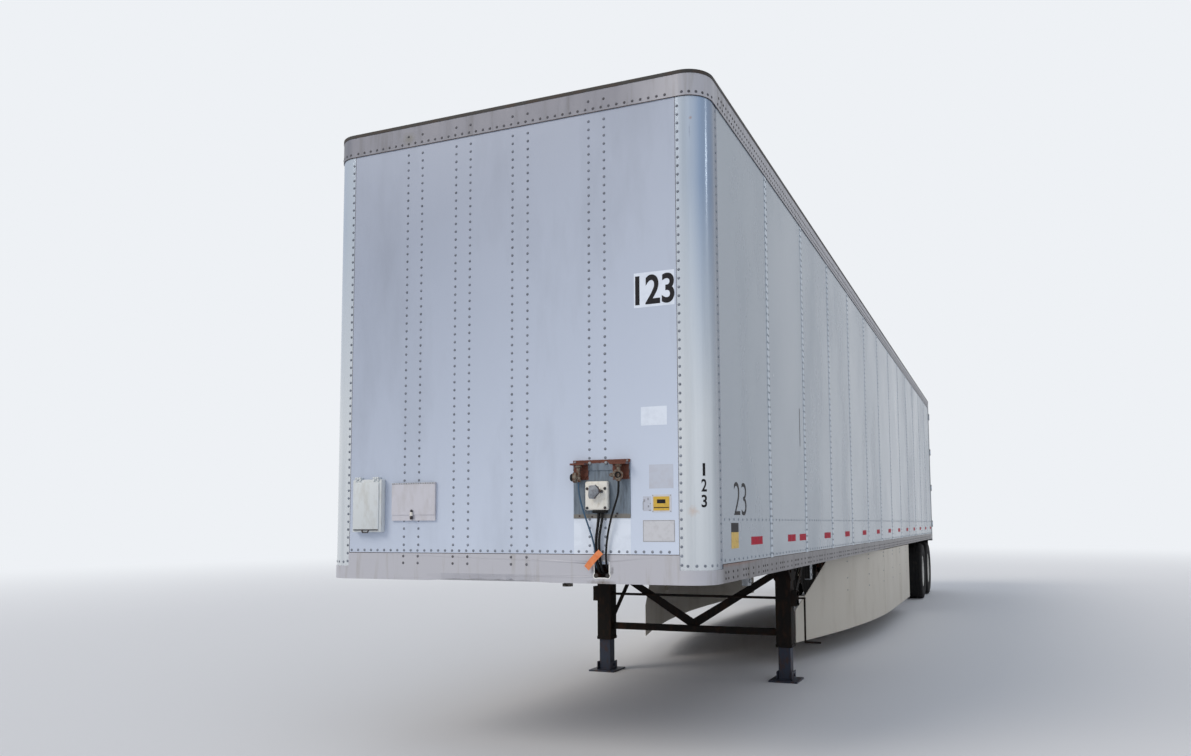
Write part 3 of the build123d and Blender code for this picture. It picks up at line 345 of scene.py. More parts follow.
# Every finish: its two colours (the first can be one of TrailerColours), how large (mm) the second one's
# patches are and the noise they start and end at, how streaky it is (1 is even, 0.1 has streaks ten times as
# tall as wide), its roughness, metal and specular, its grain (mm), the grain's depth (mm), and the depth (mm)
# of slow waves in the sheet.
FINISHES = {
    # Polyester-coated sheet: chalky, with dust that runs down in streaks
    "painted_panel": ("panels", "#B4BDCC", 420, 0.5, 1, 0.25, 0.34, 0, 0.5, 6, 0.05, 2.2),
    # The side's coated sheet in painted shade: the same white paint given a darker blue-grey, smoother,
    # barely streaked
    "painted_side": ("sides", "#84909B", 900, 0.5, 1, 0.45, 0.24, 0, 0.5, 6, 0.03, 2.5),
    # Lapped plate edge: a paler line, painted highlight where the lap catches the light, with dusty streaks
    "lap_edge": ("#AEBBC8", "#8A98A6", 300, 0.5, 0.9, 0.2, 0.26, 0, 0.5, 6, 0.03, 0),
    # Glossy bent sheet: upright streaks in its colour, partly painted vertical highlights and partly fine
    # upright scratches
    "gloss_cover": ("#D3D8DC", "#B7BEC5", 90, 0.52, 0.9, 0.03, 0.18, 0.35, 0.5, 4, 0.02, 0.6),
    # Extruded mill aluminium, dulled, with upright rain marks and brown soil
    "mill_aluminium": ("#BDBDC4", "#A19D98", 60, 0.54, 0.86, 0.1, 0.42, 0.25, 0.5, 3, 0.06, 0.4),
    # Sheared edge, still bright
    "bright_edge": ("#EFEEEA", "#A79F98", 20, 0.5, 0.8, 1, 0.32, 0.4, 0.5, 2, 0.05, 0),
    # Roof coating, worn thin and grey in broad soft patches
    "roof_coating": ("#A6A8AA", "#8C8D8C", 700, 0.45, 0.75, 1, 0.5, 0.15, 0.5, 6, 0.05, 3),
    # Hot-dipped zinc: grey spangle
    "dipped_zinc": ("#9B9EA1", "#777B80", 18, 0.35, 0.65, 1, 0.48, 0.7, 0.5, 3, 0.05, 0),
    # Chassis paint over steel, lifting, with rust in the lifted places
    "chassis_paint": ("chassis", "#5B3522", 90, 0.47, 0.66, 0.8, 0.7, 0, 0.25, 4, 0.35, 0),
    # Dull black enamel, brown where road dirt stays
    "leg_enamel": ("#1B1816", "#38271D", 60, 0.48, 0.74, 0.5, 0.75, 0, 0.15, 3, 0.35, 0),
    # Bare hub steel: brown-grey, rusted in blotches
    "hub_steel": ("#5E5650", "#6B3F28", 30, 0.45, 0.65, 1, 0.6, 0.4, 0.5, 2, 0.2, 0),
    # Turned steel with dark grease
    "greasy_steel": ("#57544F", "#221C17", 25, 0.4, 0.6, 1, 0.38, 0.8, 0.5, 2, 0.1, 0),
    # Ram paint rubbed to blue-black, brown at its scars
    "worn_ram": ("#343B49", "#4A3226", 45, 0.48, 0.72, 0.4, 0.55, 0.2, 0.3, 2, 0.15, 0),
    # Zinc sheet, blue-grey with upright drips
    "rusty_zinc": ("#74808C", "#59626C", 16, 0.42, 0.7, 0.15, 0.5, 0.35, 0.5, 2, 0.1, 0),
    # Tyre rubber: matt, with dusty brown patches
    "tyre_rubber": ("#1B1B1C", "#3C3731", 90, 0.5, 0.95, 1, 0.86, 0, 0.25, 2, 0.25, 0),
    # Hose and flap rubber: dull black, dust in its grain
    "dull_rubber": ("#0F0F11", "#2A2825", 30, 0.5, 0.8, 0.6, 0.74, 0, 0.25, 1.5, 0.08, 0),
    # Bellows rubber with brown road dust
    "rubber_bellows": ("#1A1A1B", "#4B4136", 50, 0.45, 0.75, 1, 0.7, 0, 0.25, 2, 0.15, 0),
    # White wheel enamel with rusty brown stains
    "wheel_enamel": ("#D5D4CE", "#8D7A66", 45, 0.52, 0.74, 1, 0.45, 0, 0.5, 3, 0.08, 0),
    # Red lens plastic: glossy, slightly clouded
    "lamp_lens": ("#8E0D0F", "#5E0B0B", 20, 0.4, 0.8, 1, 0.18, 0, 0.5, 5, 0.05, 0),
    # Grained white moulding, yellowed in patches
    "moulded_white": ("#D4D9DB", "#B9B8B1", 60, 0.48, 0.85, 0.4, 0.48, 0, 0.5, 2, 0.08, 0),
    # Warm white moulding, dirt in its grain
    "socket_white": ("#E6E3DB", "#C2B9A8", 25, 0.52, 0.8, 0.6, 0.42, 0, 0.5, 1.5, 0.08, 0),
    # Light grey enamel, faintly mottled
    "grey_enamel": ("#CAC9D1", "#B4B1B2", 80, 0.45, 0.8, 0.4, 0.5, 0, 0.5, 3, 0.06, 0),
    # Grey die-cast lid, rubbed
    "socket_lid": ("#8B9097", "#6E7076", 15, 0.4, 0.7, 1, 0.5, 0.4, 0.5, 1.5, 0.1, 0),
    # Sand-cast alloy with rust-brown stains
    "coupling_casting": ("#7C7468", "#5A3521", 14, 0.42, 0.62, 1, 0.62, 0.3, 0.5, 1.5, 0.3, 0),
    # Blackened small castings, rusting at their edges; the same black paints shade in holes and under the
    # document box's lid
    "dark_casting": ("#26262B", "#54321F", 18, 0.5, 0.7, 1, 0.6, 0, 0.5, 1.5, 0.2, 0),
    # Faded blue nylon tube
    "tube_blue": ("#45617A", "#4B5A66", 30, 0.45, 0.8, 1, 0.6, 0, 0.2, 2, 0.05, 0),
    # Warm white panel, dusty in broad streaks
    "skirt_plastic": ("skirts", "#ADA495", 300, 0.5, 0.95, 0.4, 0.5, 0, 0.5, 4, 0.06, 3),
    # Rivets of the front: grey under dust, a weak shine
    "rivet_metal": ("#8B929E", "#6C717A", 20, 0.4, 0.7, 1, 0.5, 0.3, 0.5, 2, 0.05, 0),
    # Rivets black with soot
    "sooty_rivet": ("#2B2A2C", "#40342C", 20, 0.45, 0.75, 1, 0.6, 0, 0.25, 2, 0.05, 0),
    # Rivets in the side's paint, a little darker
    "pale_rivet": ("#7B8591", "#626B76", 20, 0.4, 0.7, 1, 0.5, 0.3, 0.5, 2, 0.05, 0),
    # Rivets in the side's laps, in painted shade: dark blue-grey
    "side_rivet": ("#565F6A", "#3F454D", 20, 0.4, 0.7, 1, 0.5, 0.3, 0.5, 2, 0.05, 0),
    # Rivets of the front rails: dull grey-brown
    "rail_rivet": ("#6C6D74", "#534F4D", 20, 0.4, 0.7, 1, 0.55, 0.3, 0.5, 2, 0.05, 0),
    # Old sealant: lumpy, black to brown; the same black paints the shade in holes
    "black_sealant": ("#1E1C1B", "#3B2C22", 60, 0.45, 0.7, 1, 0.6, 0, 0.5, 3, 0.3, 0),
    # Brown soil caught in a seam
    "seam_soil": ("#4A3A32", "#2B2320", 40, 0.4, 0.7, 1, 0.8, 0, 0.5, 2, 0.1, 0),
    # Red marker tape: its gloss gone, worn pale
    "red_tape": ("tape", "#8A5566", 35, 0.55, 0.68, 1, 0.6, 0, 0.12, 4, 0.03, 0),
    # White marker tape, greyed
    "white_tape": ("#D9DBDA", "#A9ABAA", 35, 0.5, 0.72, 1, 0.35, 0, 0.5, 4, 0.03, 0),
    # Yellow vinyl, faded towards ochre
    "yellow_label": ("#D3AD3F", "#B08D45", 25, 0.48, 0.75, 1, 0.45, 0, 0.5, 2, 0.03, 0),
    # Paper label: off-white, mottled
    "paper_label": ("#CDCED3", "#BDBDC1", 30, 0.48, 0.8, 1, 0.55, 0, 0.5, 2, 0.03, 0),
    # Grey print and the glue of torn film
    "grey_ink": ("#8F9199", "#A5A7AD", 12, 0.45, 0.7, 1, 0.5, 0, 0.5, 2, 0.02, 0),
    # Clear film over the paint: paler and bluer
    "pale_film": ("#E3EBF7", "#D6DEEB", 60, 0.45, 0.75, 1, 0.4, 0, 0.5, 3, 0.02, 0),
    # Old film over the paint: greyer
    "dull_film": ("#C1C7D4", "#BBBDC8", 60, 0.45, 0.75, 1, 0.5, 0, 0.5, 3, 0.02, 0),
    # Black vinyl, slightly chalky
    "vinyl_black": ("#17161A", "#2D2B31", 30, 0.5, 0.8, 1, 0.55, 0, 0.2, 3, 0.02, 0),
    # Orange plastic tag, scuffed deeper
    "tag_plastic": ("tag", "#E4763A", 25, 0.45, 0.75, 1, 0.5, 0, 0.5, 3, 0.05, 0),
}


def new_finish(name):
    """A new material's node tree and its shader."""
    finish = bpy.data.materials.new(name)
    finish.use_nodes = True
    return finish.node_tree, finish.node_tree.nodes["Principled BSDF"]


def make_finish(name, colour, worn, patch, low, high, streak, rough, metallic, specular, grain, bump, wave):
    """One procedural finish on Object coordinates, from its line in the table."""
    colours = bpy.context.scene.trailer_colours
    base = (*getattr(colours, colour), 1.0) if hasattr(colours, colour) else opaque(colour)
    tree, shader = new_finish(name)
    shader.inputs["Metallic"].default_value = metallic
    shader.inputs["Specular IOR Level"].default_value = specular
    place = node(tree, "TexCoord").outputs["Object"]
    drawn = node(tree, "Mapping", {"Vector": place, "Scale": (1, 1, streak)})
    patches = node(tree, "TexNoise", {"Vector": drawn, "Scale": 1000 / patch, "Detail": 6, "Roughness": 0.62})
    share = node(tree, "MapRange", {"Value": patches, "From Min": low, "From Max": high})
    mix = node(tree, "Mix", {"Factor": share, 6: base, 7: opaque(worn)}, data_type="RGBA")
    tree.links.new(mix.outputs[2], shader.inputs["Base Color"])
    fine = node(tree, "TexNoise", {"Vector": place, "Scale": 1000 / grain, "Detail": 3})
    roughness = {"From Min": 0.3, "From Max": 0.7, "To Min": rough - 0.06, "To Max": rough + 0.08}
    uneven = node(tree, "MapRange", {"Value": patches, **roughness})
    tree.links.new(uneven.outputs[0], shader.inputs["Roughness"])
    grained = node(tree, "Bump", {"Height": fine, "Distance": bump / 1000, "Strength": 0.8})
    if wave:
        slow = node(tree, "TexNoise", {"Vector": place, "Scale": 1.8, "Detail": 1})
        waved = node(tree, "Bump", {"Height": slow, "Distance": wave / 1000, "Strength": 1.0})
        tree.links.new(waved.outputs[0], grained.inputs["Normal"])
    tree.links.new(grained.outputs[0], shader.inputs["Normal"])


def opened(name):
    """The node tree of a finish, and its place on the trailer: x, y and z apart."""
    tree = bpy.data.materials[name].node_tree
    return tree, node(tree, "SeparateXYZ", {0: node(tree, "TexCoord").outputs["Object"]}).outputs


def lay(tree, share, colour, blend="MIX"):
    """Lays a film of a colour, or of what a socket gives, over the base colour of a finish."""
    socket = tree.nodes["Principled BSDF"].inputs["Base Color"]
    over = opaque(colour) if isinstance(colour, str) else colour
    inputs = {"Factor": share, 6: socket.links[0].from_socket, 7: over}
    mix = node(tree, "Mix", inputs, data_type="RGBA", blend_type=blend)
    tree.links.new(mix.outputs[2], socket)


def stained(name, centre, near, far, colour, stretch=(1, 1, 1)):
    """Lays a soft-edged stain over a finish round one place; `stretch` lengthens it along an axis."""
    tree = bpy.data.materials[name].node_tree
    place = node(tree, "TexCoord").outputs["Object"]
    scale = [1 / s for s in stretch]
    shift = [-c * s for c, s in zip(centre, scale)]
    moved = node(tree, "Mapping", {"Vector": place, "Location": shift, "Scale": scale})
    edge = node(tree, "TexNoise", {"Vector": place, "Scale": 70, "Detail": 5})
    reach = node(tree, "VectorMath", {0: moved}, operation="LENGTH").outputs["Value"]
    blurred = node(tree, "Math", {0: edge, 1: far - near, 2: reach}, operation="MULTIPLY_ADD")
    share = node(tree, "MapRange", {"Value": blurred, "From Min": far, "From Max": near, "To Max": 0.85})
    lay(tree, share, colour)


def darken_shade_and_stain_rails():
    """Darkens the upper rails, less so towards the roadside corner, paints shade on the rails' faces along
    the sides, and soils the lower one round its opening.
    """
    tree, (x, y, z) = opened("mill_aluminium")
    upper = node(tree, "MapRange", {"Value": z, "From Min": TOP_RAIL - 0.3, "From Max": TOP_RAIL - 0.2})
    curbward = node(tree, "MapRange", {"Value": x, "From Min": 1.25, "From Max": 0.75, "To Min": 0.3})
    lay(tree, node(tree, "Math", {0: upper, 1: curbward}, operation="MULTIPLY"), "#A4A6AD", "MULTIPLY")
    # Painted shade: the rails' faces along the sides darker, most on the lower rail
    offside = node(tree, "Math", {0: x}, operation="ABSOLUTE")
    flank = node(tree, "MapRange", {"Value": offside, "From Min": HALF - 0.045, "From Max": HALF - 0.002})
    behind = node(tree, "MapRange", {"Value": y, "From Min": FRONT + 0.06, "From Max": FRONT + 0.26})
    lower = node(tree, "MapRange", {"Value": upper, "To Min": 1.0, "To Max": 0.3})
    shaded = node(tree, "Math", {0: flank, 1: behind}, operation="MULTIPLY")
    lay(tree, node(tree, "Math", {0: shaded, 1: lower}, operation="MULTIPLY"), "#9C9896", "MULTIPLY")
    grease, soil, rust, drip = "#3A332D", "#6E6358", "#7A4A35", "#676764"
    for place, near, far, colour, stretch in (
        ((OPENING[0] - 0.058, FRONT, OPENING[1] - 0.006), 0.004, 0.022, grease, (1, 1, 2.8)),
        ((OPENING[0] + 0.062, FRONT, OPENING[1] - 0.006), 0.004, 0.022, grease, (1, 1, 2.8)),
        ((OPENING[0], FRONT, BOTTOM + 0.006), 0.03, 0.10, soil, (1.5, 1, 0.3)),
        ((HALF, FRONT + 0.352, ROOF - 0.085), 0.010, 0.045, grease, (1, 1, 2.2)),
        ((HALF, SIDE_START + 0.30, SIDE_RAIL + 0.002), 0.02, 0.07, rust, (1, 14, 0.5)),
        ((-0.694, FRONT, TOP_RAIL + 0.055), 0.02, 0.06, drip, (1.5, 1, 1.3)),
    ):
        stained("mill_aluminium", place, near, far, colour, stretch)


def darken_ends_up_and_curbward(name):
    """Darkens a finish of the ends, more towards the top and the curbside."""
    tree, (x, _, z) = opened(name)
    upward = node(tree, "MapRange", {"Value": z, "From Min": BOTTOM + 0.2, "From Max": ROOF, "To Max": 0.95})
    curbward = node(tree, "MapRange", {"Value": x, "From Min": 1.1, "From Max": -1.2, "To Max": 0.4})
    lay(tree, node(tree, "Math", {0: upward, 1: curbward}, operation="ADD"), "#C4C5CA", "MULTIPLY")


def paint_cover_shade_and_reflection():
    """Paints shade on the corner covers, deeper towards the side walls, paints a bluer reflection on their
    bend, stronger upwards, and scuffs one.
    """
    tree, (_, y, z) = opened("gloss_cover")
    # Painted shade where the cover turns to face the side
    turned_away = node(tree, "MapRange", {"Value": y, "From Min": FRONT + 0.085, "From Max": FRONT + 0.20})
    lay(tree, turned_away, "#6F7B8D", "MULTIPLY")
    # Painted reflection: the bend bluer, more so upwards
    on_bend = node(tree, "MapRange", {"Value": y, "From Min": FRONT, "From Max": FRONT + 0.05, "To Min": 0.4})
    upward = node(tree, "MapRange", {"Value": z, "From Min": BOTTOM + 0.9, "From Max": TOP_RAIL - 0.5})
    lay(tree, node(tree, "Math", {0: on_bend, 1: upward}, operation="MULTIPLY"), "#ABBDD6", "MULTIPLY")
    # A rust spot high on the roadside cover, the scrape below it, and a brown patch near its foot
    stained("gloss_cover", (1.202, FRONT + 0.019, BOTTOM + 2.634), 0.004, 0.020, "#9A6A48")
    stained("gloss_cover", (1.196, FRONT + 0.016, BOTTOM + 2.560), 0.002, 0.009, "#8D97A6", (1, 1, 9))
    stained("gloss_cover", (1.190, FRONT + 0.015, BOTTOM + 0.405), 0.01, 0.06, "#C9AF9C")


def line_roof():
    """Faint soiled lines across the roof, where the sheet lies on its bows."""
    tree, (_, y, _) = opened("roof_coating")
    shifted = node(tree, "Math", {0: y, 1: FIRST_BOW}, operation="SUBTRACT")
    within = node(tree, "Math", {0: shifted, 1: BOW_PITCH / 2}, operation="PINGPONG")
    near = node(tree, "MapRange", {"Value": within, "From Min": 0.022, "From Max": 0.012, "To Max": 0.30})
    lay(tree, near, "#6E6C69")


def make_floor_boards():
    """Laminated oak boards, 38 mm wide along the trailer, oiled and dark in the joints."""
    tree, shader = new_finish("oiled_oak")
    place = node(tree, "TexCoord").outputs["Object"]
    pattern = {
        "Vector": node(tree, "Mapping", {"Vector": place, "Rotation": (0, 0, math.pi / 2)}),
        "Color1": opaque("#8C6A45"),
        "Color2": opaque("#6E5135"),
        "Mortar": opaque("#2C211A"),
        "Scale": 1.0,
        "Mortar Size": 0.0012,
        "Brick Width": 1.2,
        "Row Height": 0.038,
    }
    boards = node(tree, "TexBrick", pattern)
    tree.links.new(boards.outputs["Color"], shader.inputs["Base Color"])
    shader.inputs["Roughness"].default_value = 0.6
    height = node(tree, "Bump", {"Height": boards.outputs["Fac"], "Distance": 0.001}, invert=True)
    tree.links.new(height.outputs[0], shader.inputs["Normal"])


def rust_service_plate():
    """Soils the foot of the zinc plate, and rusts its top edge and the two brackets."""
    tree, (x, _, z) = opened("rusty_zinc")
    place = node(tree, "TexCoord").outputs["Object"]
    low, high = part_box("service_plate")
    ragged = node(tree, "TexNoise", {"Vector": place, "Scale": 60, "Detail": 5})
    across = node(tree, "Math", {0: ragged, 1: 0.012, 2: x}, operation="MULTIPLY_ADD")
    height = node(tree, "Math", {0: ragged, 1: 0.012, 2: z}, operation="MULTIPLY_ADD")
    rusted = node(tree, "MapRange", {"Value": height, "From Min": high.z - 0.015, "From Max": high.z - 0.011})
    above = node(tree, "MapRange", {"Value": height, "From Min": BOTTOM + 0.592, "From Max": BOTTOM + 0.597})
    for middle, half in BRACKETS:
        offset = node(tree, "Math", {0: across, 1: middle + 0.006}, operation="SUBTRACT")
        away = node(tree, "Math", {0: offset}, operation="ABSOLUTE")
        beside = node(tree, "MapRange", {"Value": away, "From Min": half + 0.003, "From Max": half - 0.002})
        held = node(tree, "Math", {0: beside, 1: above}, operation="MULTIPLY")
        rusted = node(tree, "Math", {0: rusted, 1: held}, operation="MAXIMUM")
    foot = node(tree, "MapRange", {"Value": height, "From Min": low.z + 0.034, "From Max": low.z + 0.026})
    lay(tree, foot, "#77746F")
    flakes = node(tree, "TexNoise", {"Vector": place, "Scale": 90, "Detail": 6})
    rust = {"Factor": flakes, 6: opaque("#3B1D17"), 7: opaque("#7B4634")}
    lay(tree, rusted, node(tree, "Mix", rust, data_type="RGBA").outputs[2])


# Which finish each CAD node wears
NODE_FINISHES = {
    "painted_panel": ("front_wall", "door_roadside", "door_curbside"),
    "painted_side": ("side_plates_roadside", "side_plates_curbside"),
    "gloss_cover": ("front_corners",),
    "mill_aluminium": ("rail_corners", "front_rails", "side_rails"),
    "roof_coating": ("roof_sheet",),
    "dipped_zinc": (
        "wall_joint_posts", "roof_bows", "rear_posts", "rear_rails", "lock_gear_roadside",
        "lock_gear_curbside",
    ),
    "chassis_paint": (
        "crossmembers", "upper_coupler", "slider_rails", "bogie_frame", "trailing_arms", "axle_beams",
        "underride_guard",
    ),
    "leg_enamel": ("leg_housings", "leg_braces", "leg_struts", "leg_crank"),
    "worn_ram": ("leg_rams",),
    "greasy_steel": ("kingpin",),
    "oiled_oak": ("floor_boards",),
    "rusty_zinc": ("service_plate",),
    "moulded_white": ("document_box", "document_lid"),
    "socket_white": ("service_socket",),
    "grey_enamel": ("permit_frame", "permit_cover"),
    "skirt_plastic": ("skirts",),
    "lamp_lens": ("rear_lamps",),
    "coupling_casting": ("air_couplings",),
    "rubber_bellows": ("air_springs",),
    "dull_rubber": ("mud_flaps", "harness_main", "harness_spare", "line_service"),
    "tube_blue": ("line_supply",),
    "tyre_rubber": tuple(f"tyres_{w}" for w in WHEELS),
    "wheel_enamel": tuple(f"wheels_{w}" for w in WHEELS),
}


class TRAILER_OT_finishes(bpy.types.Operator):
    """Makes the finishes and gives each CAD node its own"""

    bl_idname = "trailer.finishes"
    bl_label = "Finishes"

    def execute(self, context):
        for name, facts in FINISHES.items():
            make_finish(name, *facts)
        make_floor_boards()
        rust_service_plate()
        for name in ("painted_panel", "rivet_metal", "rail_rivet"):
            darken_ends_up_and_curbward(name)
        darken_shade_and_stain_rails()
        paint_cover_shade_and_reflection()
        line_roof()
        for name, nodes in NODE_FINISHES.items():
            for one in nodes:
                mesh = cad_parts[one].data
                mesh.materials.clear()
                mesh.materials.append(bpy.data.materials[name])
        return {"FINISHED"}


def rivet_head(direction, sides, rings):
    """One domed rivet head on the origin, pointing in a direction."""
    sizes = bpy.context.scene.trailer_sizes
    clear()
    bpy.ops.mesh.primitive_uv_sphere_add(segments=sides, ring_count=rings, radius=sizes.rivet_radius)
    head = bpy.context.object
    head.scale.z = sizes.rivet_height / sizes.rivet_radius
    settle(head)
    edited(head, ("bisect", {"plane_no": (0, 0, 1), "clear_inner": True, "use_fill": True}))
    head.rotation_euler = Vector(direction).to_track_quat("Z", "Y").to_euler()
    return settle(head)


def riveted(head, rows):
    """Rows of a rivet head: each row is its start, its step and its count."""
    made = [in_row(copied(head, start), step, max(1, count)) for start, step, count in rows]
    bpy.data.objects.remove(head)
    return made


def columns(places, low, high, pitch):
    """Upright rows at (x, y) places."""
    return [((x, y, low), (0, 0, pitch), int((high - low) / pitch) + 1) for x, y in places]


def front_rivets(rows, radius, height, count):
    """Rows of rivets on the front, and one round each of its corners at a radius and a height."""
    head = rivet_head((0, -1, 0), 10, 6)
    made = []
    for side in SIDES:
        centre = Matrix.Translation((side * BEND_X, BEND_Y, height))
        for i in range(count):
            turn = Matrix.Rotation(side * math.radians(90 * (i + 0.5) / count), 4, "Z")
            made.append(copied(head, turn=centre @ turn @ Matrix.Translation((0, -radius, 0))))
    return made + riveted(head, rows)


# Rivets of the lower side rail, by distance from the front: the first few, then a pattern that repeats
RAIL_FIRST = (0.280, 0.338, 0.438, 0.534)
RAIL_GROUP = (0.672, 0.727, 0.784, 0.910, 1.045)
RAIL_PERIOD = 0.4995
FRONT_COLUMNS = (-0.697, -0.590, -0.338, -0.234, 0.065, 0.169, 0.574, 0.673)
COVER_COLUMN = 1.126
ROW_START = -1.095


class TRAILER_OT_rivets(bpy.types.Operator):
    """Rivet heads of the front, the side walls and the rails"""

    bl_idname = "trailer.rivets"
    bl_label = "Rivets"

    def execute(self, context):
        pitch = context.scene.trailer_sizes.rivet_pitch
        across = int(-2 * ROW_START / pitch) + 1
        top = TOP_RAIL - 0.02
        rows = columns([(x, WALL) for x in FRONT_COLUMNS], FRONT_RAIL + 0.052, top, pitch)
        rows += columns([(s * COVER_COLUMN, WALL) for s in SIDES], COVER_FOOT + 0.03, top, pitch)
        rows.append(((ROW_START, WALL, FRONT_RAIL + 0.018), (pitch, 0, 0), across))
        heads = front_rivets(rows, BEND - SKIN, COVER_FOOT + 0.025, 5)
        dress(heads, "rivets_front_wall", "van", "rivet_metal")
        rows = columns([(x, FRONT) for x in FRONT_COLUMNS], TOP_RAIL + 0.068, TOP_RAIL + 0.07, pitch)
        lower = [(x, FRONT) for x in FRONT_COLUMNS[:6]]
        rows += columns(lower, FRONT_RAIL - 0.060, FRONT_RAIL - 0.010, 0.042)
        rows.append(((ROW_START, FRONT, TOP_RAIL + 0.020), (pitch, 0, 0), across))
        heads = front_rivets(rows, BEND, TOP_RAIL + 0.020, 6)
        dress(heads, "rivets_front_rails", "van", "rail_rivet")

        low = SIDE_RAIL + 0.03
        run = int((SIDE_END - SIDE_START - 0.06) / pitch)
        groups = int((SIDE_END - FRONT - RAIL_GROUP[-1]) / RAIL_PERIOD) + 1
        for side, name in SIDE_NAMES:
            face, edge = side * SIDE, side * HALF
            joints = [(face + side * 0.0012, y + d) for y in JOINTS for d in (-0.020, 0.020)]
            plates = columns(joints + [(face, SIDE_END - 0.03)], low, top, pitch)
            cover = columns([(face, SIDE_START - 0.022)], low, top, pitch)
            for height in (SIDE_RAIL + 0.022, BOTTOM + 0.36):
                cover.append(((face, SIDE_START + 0.05, height), (0, 2 * pitch, 0), run // 2))
            rails = [((edge, SIDE_START + 0.020, TOP_RAIL + 0.027), (0, pitch, 0), run)]
            rails.append(((edge, SIDE_START + 0.045, TOP_RAIL + 0.072), (0, pitch, 0), run))
            for height in (BOTTOM + 0.060, BOTTOM + 0.025):
                for places, count in ((RAIL_FIRST, 1), (RAIL_GROUP, groups)):
                    rails += [((edge, FRONT + y, height), (0, RAIL_PERIOD, 0), count) for y in places]
            for piece, rows, slot, finish in (
                ("side", plates, "white_plate", "side_rivet"),
                ("cover", cover, "white_plate", "pale_rivet"),
                ("rails", rails, "rail_aluminium", "sooty_rivet"),
            ):
                heads = riveted(rivet_head((side, 0, 0), 8, 4), rows)
                dress(heads, f"rivets_{piece}_{name}", "van", finish)
        return {"FINISHED"}


def nose_line(out, back):
    """Points round the front of the body, `out` outside its faces, from one side at `back` to the other."""
    right = []
    for i in range(13):
        angle = math.radians(7.5 * i)
        right.append((BEND_X + (BEND + out) * math.sin(angle), BEND_Y - (BEND + out) * math.cos(angle)))
    right.append((HALF + out, back))
    return [(-x, y) for x, y in reversed(right)] + right


def band(line, low, high, depth=0.001):
    """An upright strip along a line of (x, y) points, with a thickness."""
    count = len(line)
    points = [(x, y, low) for x, y in line] + [(x, y, high) for x, y in line]
    faces = [(i, i + 1, count + i + 1, count + i) for i in range(count - 1)]
    return thickened(new_mesh(points, faces=faces), depth)


class TRAILER_OT_seams(bpy.types.Operator):
    """Sealant on the roof's edge, soil in the rail seams and the laps of the wall plates"""

    bl_idname = "trailer.seams"
    bl_label = "Seams"

    def execute(self, context):
        sealant = band(nose_line(0.0005, REAR - 0.01), ROOF - 0.022, ROOF - 0.001, 0.003)
        dress([sealant], "roof_edge_sealant", "van", "black_sealant")
        gap = 0.0035
        bend = nose_line(-SKIN + 0.0006, BEND_Y + 0.075)
        inner = [(x, WALL - 0.0004) for x in (0.015 - COVER_COLUMN, COVER_COLUMN - 0.015)]
        lines = [
            band(nose_line(0.0004, REAR - 0.131), TOP_RAIL - gap, TOP_RAIL),
            band(bend[:15], COVER_FOOT - gap, COVER_FOOT),
            band(bend[-15:], COVER_FOOT - gap, COVER_FOOT),
            band(inner, FRONT_RAIL, FRONT_RAIL + gap),
        ]
        side_line = [(SIDE + 0.0004, y) for y in (SIDE_START, SIDE_END)]
        lap = (WALL - 0.0008, WALL + SUNK)
        edge = block(span(COVER_COLUMN - 0.013, 0.001), lap, (COVER_FOOT, TOP_RAIL))
        lines += mirrored([band(side_line, SIDE_RAIL, SIDE_RAIL + gap), edge])
        dress(lines, "rail_seams", "van", "seam_soil")
        height = (SIDE_RAIL, TOP_RAIL)
        faces = [(side * SIDE - SUNK, side * (SIDE + 0.0016)) for side in SIDES]
        # The laps' paler finish is a painted highlight along the lapped edges
        laps = [block(x, span(y, 0.030), height, edge=0.0007, segments=1) for x in faces for y in JOINTS]
        dress(laps, "plate_laps", "van", "lap_edge")
        return {"FINISHED"}


# How far the front rail's lower edge is pushed in, by place across
DENTS = (
    (-0.52, 0.000), (-0.42, 0.005), (-0.33, 0.012), (-0.25, 0.009), (-0.17, 0.013), (-0.08, 0.010),
    (-0.02, 0.013), (0.03, 0.007), (0.06, 0.015), (0.09, 0.006), (0.16, 0.008), (0.24, 0.003), (0.34, 0.000),
)


def pushed_in(x):
    """The depth of the dents at one place across."""
    for (start, low), (end, high) in zip(DENTS[:-1], DENTS[1:]):
        if start <= x <= end:
            return low + (high - low) * (x - start) / (end - start)
    return 0


def lobed_outline(grow=0.0):
    """The rail's opening about its middle: a rounded top, straight sides and round lower lobes."""
    right = [(0.0, 0.0465 + grow)]
    for angle in range(90, -1, -15):
        turn = math.radians(angle)
        right.append((0.032 + (0.012 + grow) * math.cos(turn), 0.0345 + (0.012 + grow) * math.sin(turn)))
    right.append((0.0435 + grow, -0.016))
    for angle in range(55, -111, -15):
        turn = math.radians(angle)
        right.append((0.036 + (0.0135 + grow) * math.cos(turn), -0.034 + (0.0135 + grow) * math.sin(turn)))
    right += [(0.020, -0.0445 - grow), (0.0, -0.0445 - grow)]
    return right + [(-x, z) for x, z in reversed(right[1:-1])]


